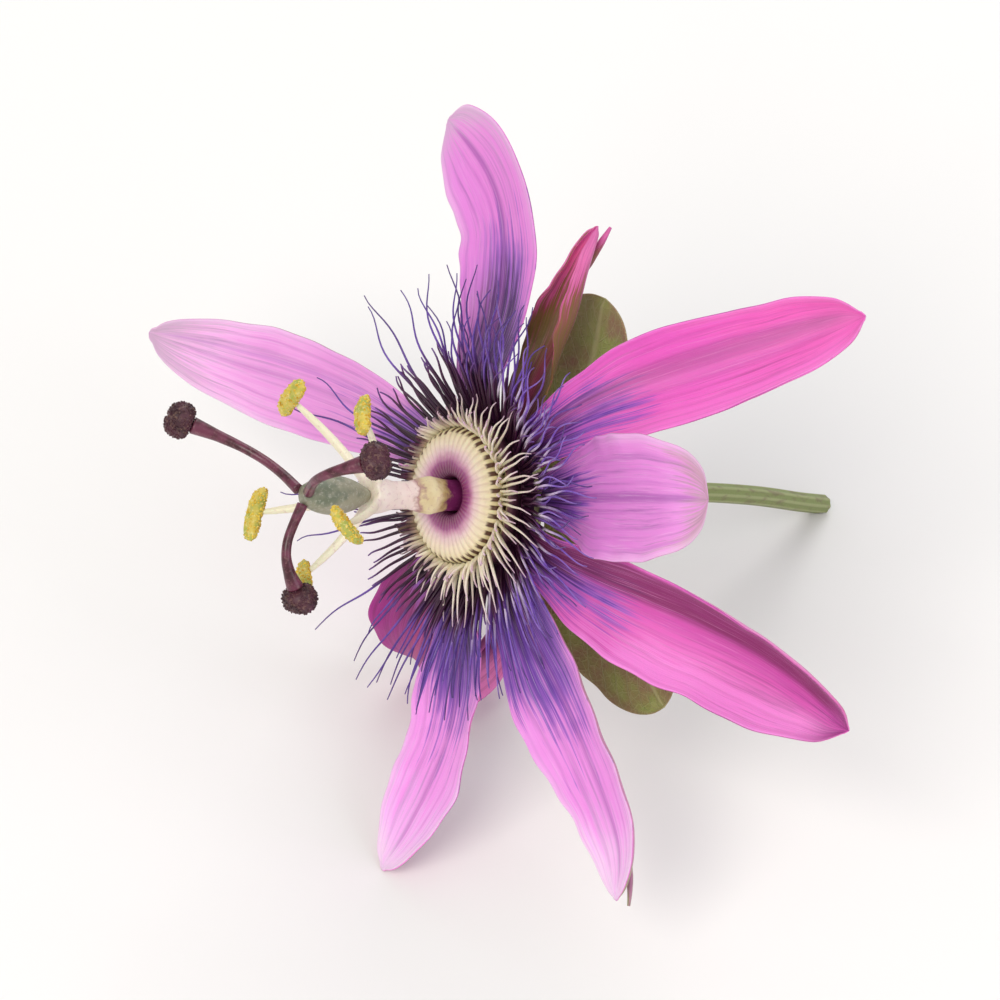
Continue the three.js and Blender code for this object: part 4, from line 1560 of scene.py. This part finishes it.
@dataclass
class Column(Assembly):
    """The column, its five stamen filaments and their anthers."""

    place: BloomPlace
    grains: Recipe
    stamens: tuple[Stamen, ...] = (
        Stamen(48, 13.0, 25.0, -30), Stamen(120, 13.6, 24.0, -12), Stamen(190, 12.6, 25.2, 24),
        Stamen(240, 11.4, 22.8, 30), Stamen(332, 8.0, 26.4, 50),
    )
    foot: float = -2.7
    top: float = 17.4
    waist: float = 1.75
    bulge: float = 2.4
    bulge_height: float = 7.9
    anther_length: float = 7.4
    anther_half: float = 1.2
    voxel: float = 0.17

    def column(self) -> None:
        """Models the column and the filaments as one smooth body."""
        low, swell = self.foot, self.bulge_height
        outline = [
            (0.0, low), (2.6, low), (1.95, low + 1.8), (1.95, swell - 2.6), (2.1, swell - 1.6),
            (self.bulge, swell), (2.1, swell + 1.7), (self.waist, swell + 3.2), (self.waist, 13.6),
            (2.2, 15.6), (2.4, self.top), (0.0, self.top),
        ]
        shell = Shell()
        shell.add_grid(turned_grid(np.array(outline), 40, ribs=5, rib=0.05), closed=True)
        for stamen in self.stamens:
            points = []
            for s in (0.0, 0.33, 0.67, 1.0):
                height = lerp(self.top - 0.8, stamen.up - 0.3, s * (0.55 + 0.45 * s))
                points.append(polar(stamen.at, lerp(1.2, stamen.out - 0.2, s), height))
            line = course(points, 24)
            radii = np.interp(np.linspace(0, 1, 24), [0, 0.3, 0.8, 1], [0.85, 0.7, 0.55, 0.36])
            shell.add_grid(tube_grid(line, radii, 14, flat=0.8), closed=True)
        host = linked("column_draft", shell.mesh("column"))
        remesh = host.modifiers.new("skin", "REMESH")
        remesh.mode = "VOXEL"
        remesh.voxel_size = self.voxel
        remesh.use_smooth_shade = True
        smooth = host.modifiers.new("soften", "SMOOTH")
        smooth.factor = 0.6
        smooth.iterations = 5
        self.settle("column", plain_mesh(host), "column", ["androgynophore"], COLUMN)

    def anther(self, number: int, stamen: Stamen) -> None:
        """Makes one anther, two sacs side by side, and its pollen.

        Args:
            number: The anther's number.
            stamen: The stamen that carries it.
        """
        rows, sides = 41, 36
        broad, flat, droop = 1.04, 0.75, 0.35
        groove_depth, groove_width, least_dust = 0.3, 0.28, 0.35
        span = np.linspace(-1.0, 1.0, rows)
        turn = np.linspace(0.0, math.tau, sides, endpoint=False)
        girth = self.anther_half * np.sqrt(np.clip(1 - span**4, 0, 1))[:, None]
        cosine, sine = np.cos(turn)[None, :], np.sin(turn)[None, :]
        groove = 1 - groove_depth * np.exp(-((cosine / groove_width) ** 2))
        x = girth * cosine * broad
        z = girth * sine * flat * groove - droop * (span**2)[:, None]
        y = np.broadcast_to((span * self.anther_length / 2)[:, None], x.shape)
        tip = math.radians(stamen.turn)
        y, z = y * math.cos(tip) - z * math.sin(tip), y * math.sin(tip) + z * math.cos(tip)
        way = math.radians(stamen.at)
        centre = polar(stamen.at, stamen.out + 0.35, stamen.up + 0.2)
        grid = np.stack([
            centre.x + x * math.cos(way) - y * math.sin(way),
            centre.y + x * math.sin(way) + y * math.cos(way),
            centre.z + z,
        ], axis=2)
        dusted = lerp(least_dust, 1.0, smooth_between(0.3, -0.3, sine))
        node = f"anther_{number}"
        mesh = round_mesh(node, grid, grainy=np.broadcast_to(dusted, x.shape))
        values = {"Density": 9.0, "Size": 0.15, "Uneven": 0.35, "Tall": 1.0, "Seed": number}
        pollen = self.grains.run(f"pollen_{number}", POLLEN.build(), values, mesh.copy())
        self.settle(f"{node}_sacs", mesh, "anther", [node], ANTHER)
        self.settle(f"{node}_pollen", pollen, "anther", [node], POLLEN)

    def build(self) -> None:
        """Makes the column and the anthers."""
        self.column()
        for number, stamen in enumerate(self.stamens, start=1):
            self.anther(number, stamen)


@dataclass(frozen=True)
class StyleCourse:
    """The way a style points, its stigma's distance and height, and how far it arches."""

    at: float
    out: float
    up: float
    sag: float


@dataclass
class Pistil(Assembly):
    """The ovary on the column, and its three styles with their stigmas."""

    place: BloomPlace
    grains: Recipe
    styles: tuple[StyleCourse, ...] = (
        StyleCourse(144, 14.8, 35.6, -2.0), StyleCourse(264, 11.5, 27.8, 1.9),
        StyleCourse(17, 13.0, 27.8, 2.6),
    )
    foot: float = 17.3
    length: float = 10.0
    radius: float = 2.45
    style_foot: float = 0.2
    stigma: float = 2.3

    def ovary(self) -> None:
        """Turns the egg-shaped ovary, with three shallow furrows."""
        s = np.linspace(0.0, 1.0, 40)
        angle = lerp(0.2, math.pi - 0.45, s)
        radius = self.radius * np.sin(angle) ** 0.8
        wall = np.stack([radius, self.foot + self.length * s], axis=1)
        profile = np.vstack([[(0.0, self.foot)], wall, [(0.0, self.foot + self.length)]])
        mesh = round_mesh("ovary", turned_grid(profile, 72, ribs=3, rib=0.035))
        self.settle("ovary_egg", mesh, "ovary", ["ovary"], OVARY)

    def knob(self, centre: np.ndarray, ahead: np.ndarray) -> np.ndarray:
        """The points of a kidney-shaped stigma.

        Args:
            centre: Its middle.
            ahead: The direction that it faces, away from its style.

        Returns:
            A rows by columns by 3 array.
        """
        lift, turn = np.meshgrid(
            np.linspace(0, math.pi, 30), np.linspace(0, math.tau, 48, endpoint=False), indexing="ij"
        )
        x, y, z = np.sin(lift) * np.cos(turn), np.sin(lift) * np.sin(turn), np.cos(lift)
        swell = 1 - 0.16 * np.exp(-((x / 0.32) ** 2)) * smooth_between(-0.4, 0.7, z)
        swell -= 0.22 * smooth_between(0.5, 1.0, -z)
        across = np.cross(ahead, [0.0, 0.0, 1.0])
        across /= np.linalg.norm(across)
        other = np.cross(across, ahead)
        offsets = 0.0
        for way, share, size in ((across, x, 1.02), (other, y, 0.92), (ahead, z, 0.9)):
            offsets = offsets + way * (share * size * swell)[:, :, None]
        return centre + offsets * self.stigma

    def style(self, number: int, style: StyleCourse) -> None:
        """Makes one style and its stigma.

        Args:
            number: The style's number.
            style: Its course.
        """
        crown = self.foot + self.length
        points = []
        for s in (0.0, 0.2, 0.4, 0.6, 0.8, 1.0):
            height = lerp(crown + self.style_foot, style.up, s) + style.sag * math.sin(math.pi * s)
            points.append(polar(style.at, lerp(1.2, style.out, s**0.9), height))
        line = course(points, 48)
        radii = np.interp(np.linspace(0, 1, 48), np.linspace(0, 1, 6), [0.7, 0.62, 0.6, 0.62, 0.75, 1.1])
        node = f"style_{number}"
        stem = round_mesh(node, tube_grid(line, radii, 20))
        self.settle(f"{node}_stem", stem, "style", [node], STYLE)
        ahead = line[-1] - line[-4]
        ahead /= np.linalg.norm(ahead)
        grid = self.knob(line[-1] + ahead * self.stigma * 0.7, ahead)
        mesh = round_mesh(f"stigma_{number}", grid, grainy=1.0)
        values = {"Density": 7.0, "Size": 0.13, "Uneven": 0.3, "Tall": 1.3, "Seed": 40 + number}
        warts = self.grains.run(f"papillae_{number}", STIGMA.build(), values, mesh.copy())
        self.settle(f"{node}_stigma", mesh, "style", [node], STIGMA)
        self.settle(f"{node}_papillae", warts, "style", [node], STIGMA)

    def build(self) -> None:
        """Makes the ovary and the styles."""
        self.ovary()
        for number, style in enumerate(self.styles, start=1):
            self.style(number, style)


# ---- Studio ----


@dataclass
class Studio:
    """The floor, the lights and the camera."""

    place: BloomPlace
    elevation: float = 48.0
    distance: float = 0.95
    view_width: float = 0.126
    sensor: float = 36.0
    aim_right: float = 0.003
    aim_down: float = 0.0006
    floor_side: float = 6.0

    def floor(self) -> None:
        """Lays the pale floor."""
        half = self.floor_side / 2
        mesh = bpy.data.meshes.new("floor")
        corners = [(-half, -half, 0), (half, -half, 0), (half, half, 0), (-half, half, 0)]
        mesh.from_pydata(corners, [], [(0, 1, 2, 3)])
        material = bpy.data.materials.new("floor_pale")
        material.use_nodes = True
        shader = material.node_tree.nodes["Principled BSDF"]
        shader.inputs["Base Color"].default_value = shade("#f4f3f1")
        shader.inputs["Roughness"].default_value = 0.9
        mesh.materials.append(material)
        linked("floor", mesh)

    def lamp(
        self, name: str, place: tuple[float, float, float], size: float, power: float, colour: str
    ) -> None:
        """Hangs a soft square light that points at the bloom.

        Args:
            name: The light's name.
            place: Where it hangs, in metres.
            size: Its side, in metres.
            power: Its power, in watts.
            colour: Its sRGB code.
        """
        data = bpy.data.lights.new(name, "AREA")
        data.size = size
        data.energy = power
        data.color = shade(colour)[:3]
        light = linked(name, data)
        light.location = place
        aim = Vector(self.place.centre) * MM - Vector(place)
        light.rotation_euler = aim.to_track_quat("-Z", "Y").to_euler()

    def camera(self) -> None:
        """Sets the camera at the photograph's angle, with a long lens."""
        data = bpy.data.cameras.new("camera")
        data.sensor_width = self.sensor
        data.lens = self.sensor * self.distance / self.view_width
        data.clip_start = 0.05
        rise = math.radians(self.elevation)
        back = Vector((0.0, -math.cos(rise), math.sin(rise)))
        up = Vector((0.0, math.sin(rise), math.cos(rise)))
        target = Vector(self.place.centre) * MM + Vector((self.aim_right, 0, 0)) - up * self.aim_down
        eye = linked("camera", data)
        eye.location = target + back * self.distance
        eye.rotation_euler = (-back).to_track_quat("-Z", "Y").to_euler()
        bpy.context.scene.camera = eye

    def build(self) -> None:
        """Makes the studio and sets how colours are shown."""
        self.floor()
        self.lamp("key", (-0.5, -0.75, 1.05), 0.7, 9.0, "#fffaf2")
        self.lamp("fill", (0.9, -0.5, 0.7), 0.9, 4.0, "#f2f6ff")
        self.lamp("back", (0.2, 0.9, 0.8), 0.8, 5.0, "#ffffff")
        world = bpy.data.worlds.new("studio")
        world.use_nodes = True
        sky = world.node_tree.nodes["Background"]
        sky.inputs["Color"].default_value = shade("#f6f6f8")
        sky.inputs["Strength"].default_value = 0.55
        bpy.context.scene.world = world
        bpy.context.scene.view_settings.view_transform = "Standard"
        self.camera()


def main() -> None:
    """Builds the bloom from the outside in, then the studio."""
    logging.basicConfig(level=logging.INFO, format="%(name)s %(message)s")
    place = BloomPlace()
    fringe, grains, stem = fringe_recipe(), grain_recipe(), stem_recipe()
    assemblies = [
        Stalk(place, stem),
        Cup(place),
        Blades(place, Whorl.BRACT, BRACTS),
        Blades(place, Whorl.SEPAL, SEPALS),
        Blades(place, Whorl.PETAL, PETALS),
        Corona(place, fringe),
        Column(place, grains),
        Pistil(place, grains),
        Studio(place),
    ]
    for assembly in assemblies:
        log.info("building %s", type(assembly).__name__)
        assembly.build()


if __name__ == "__main__":
    main()
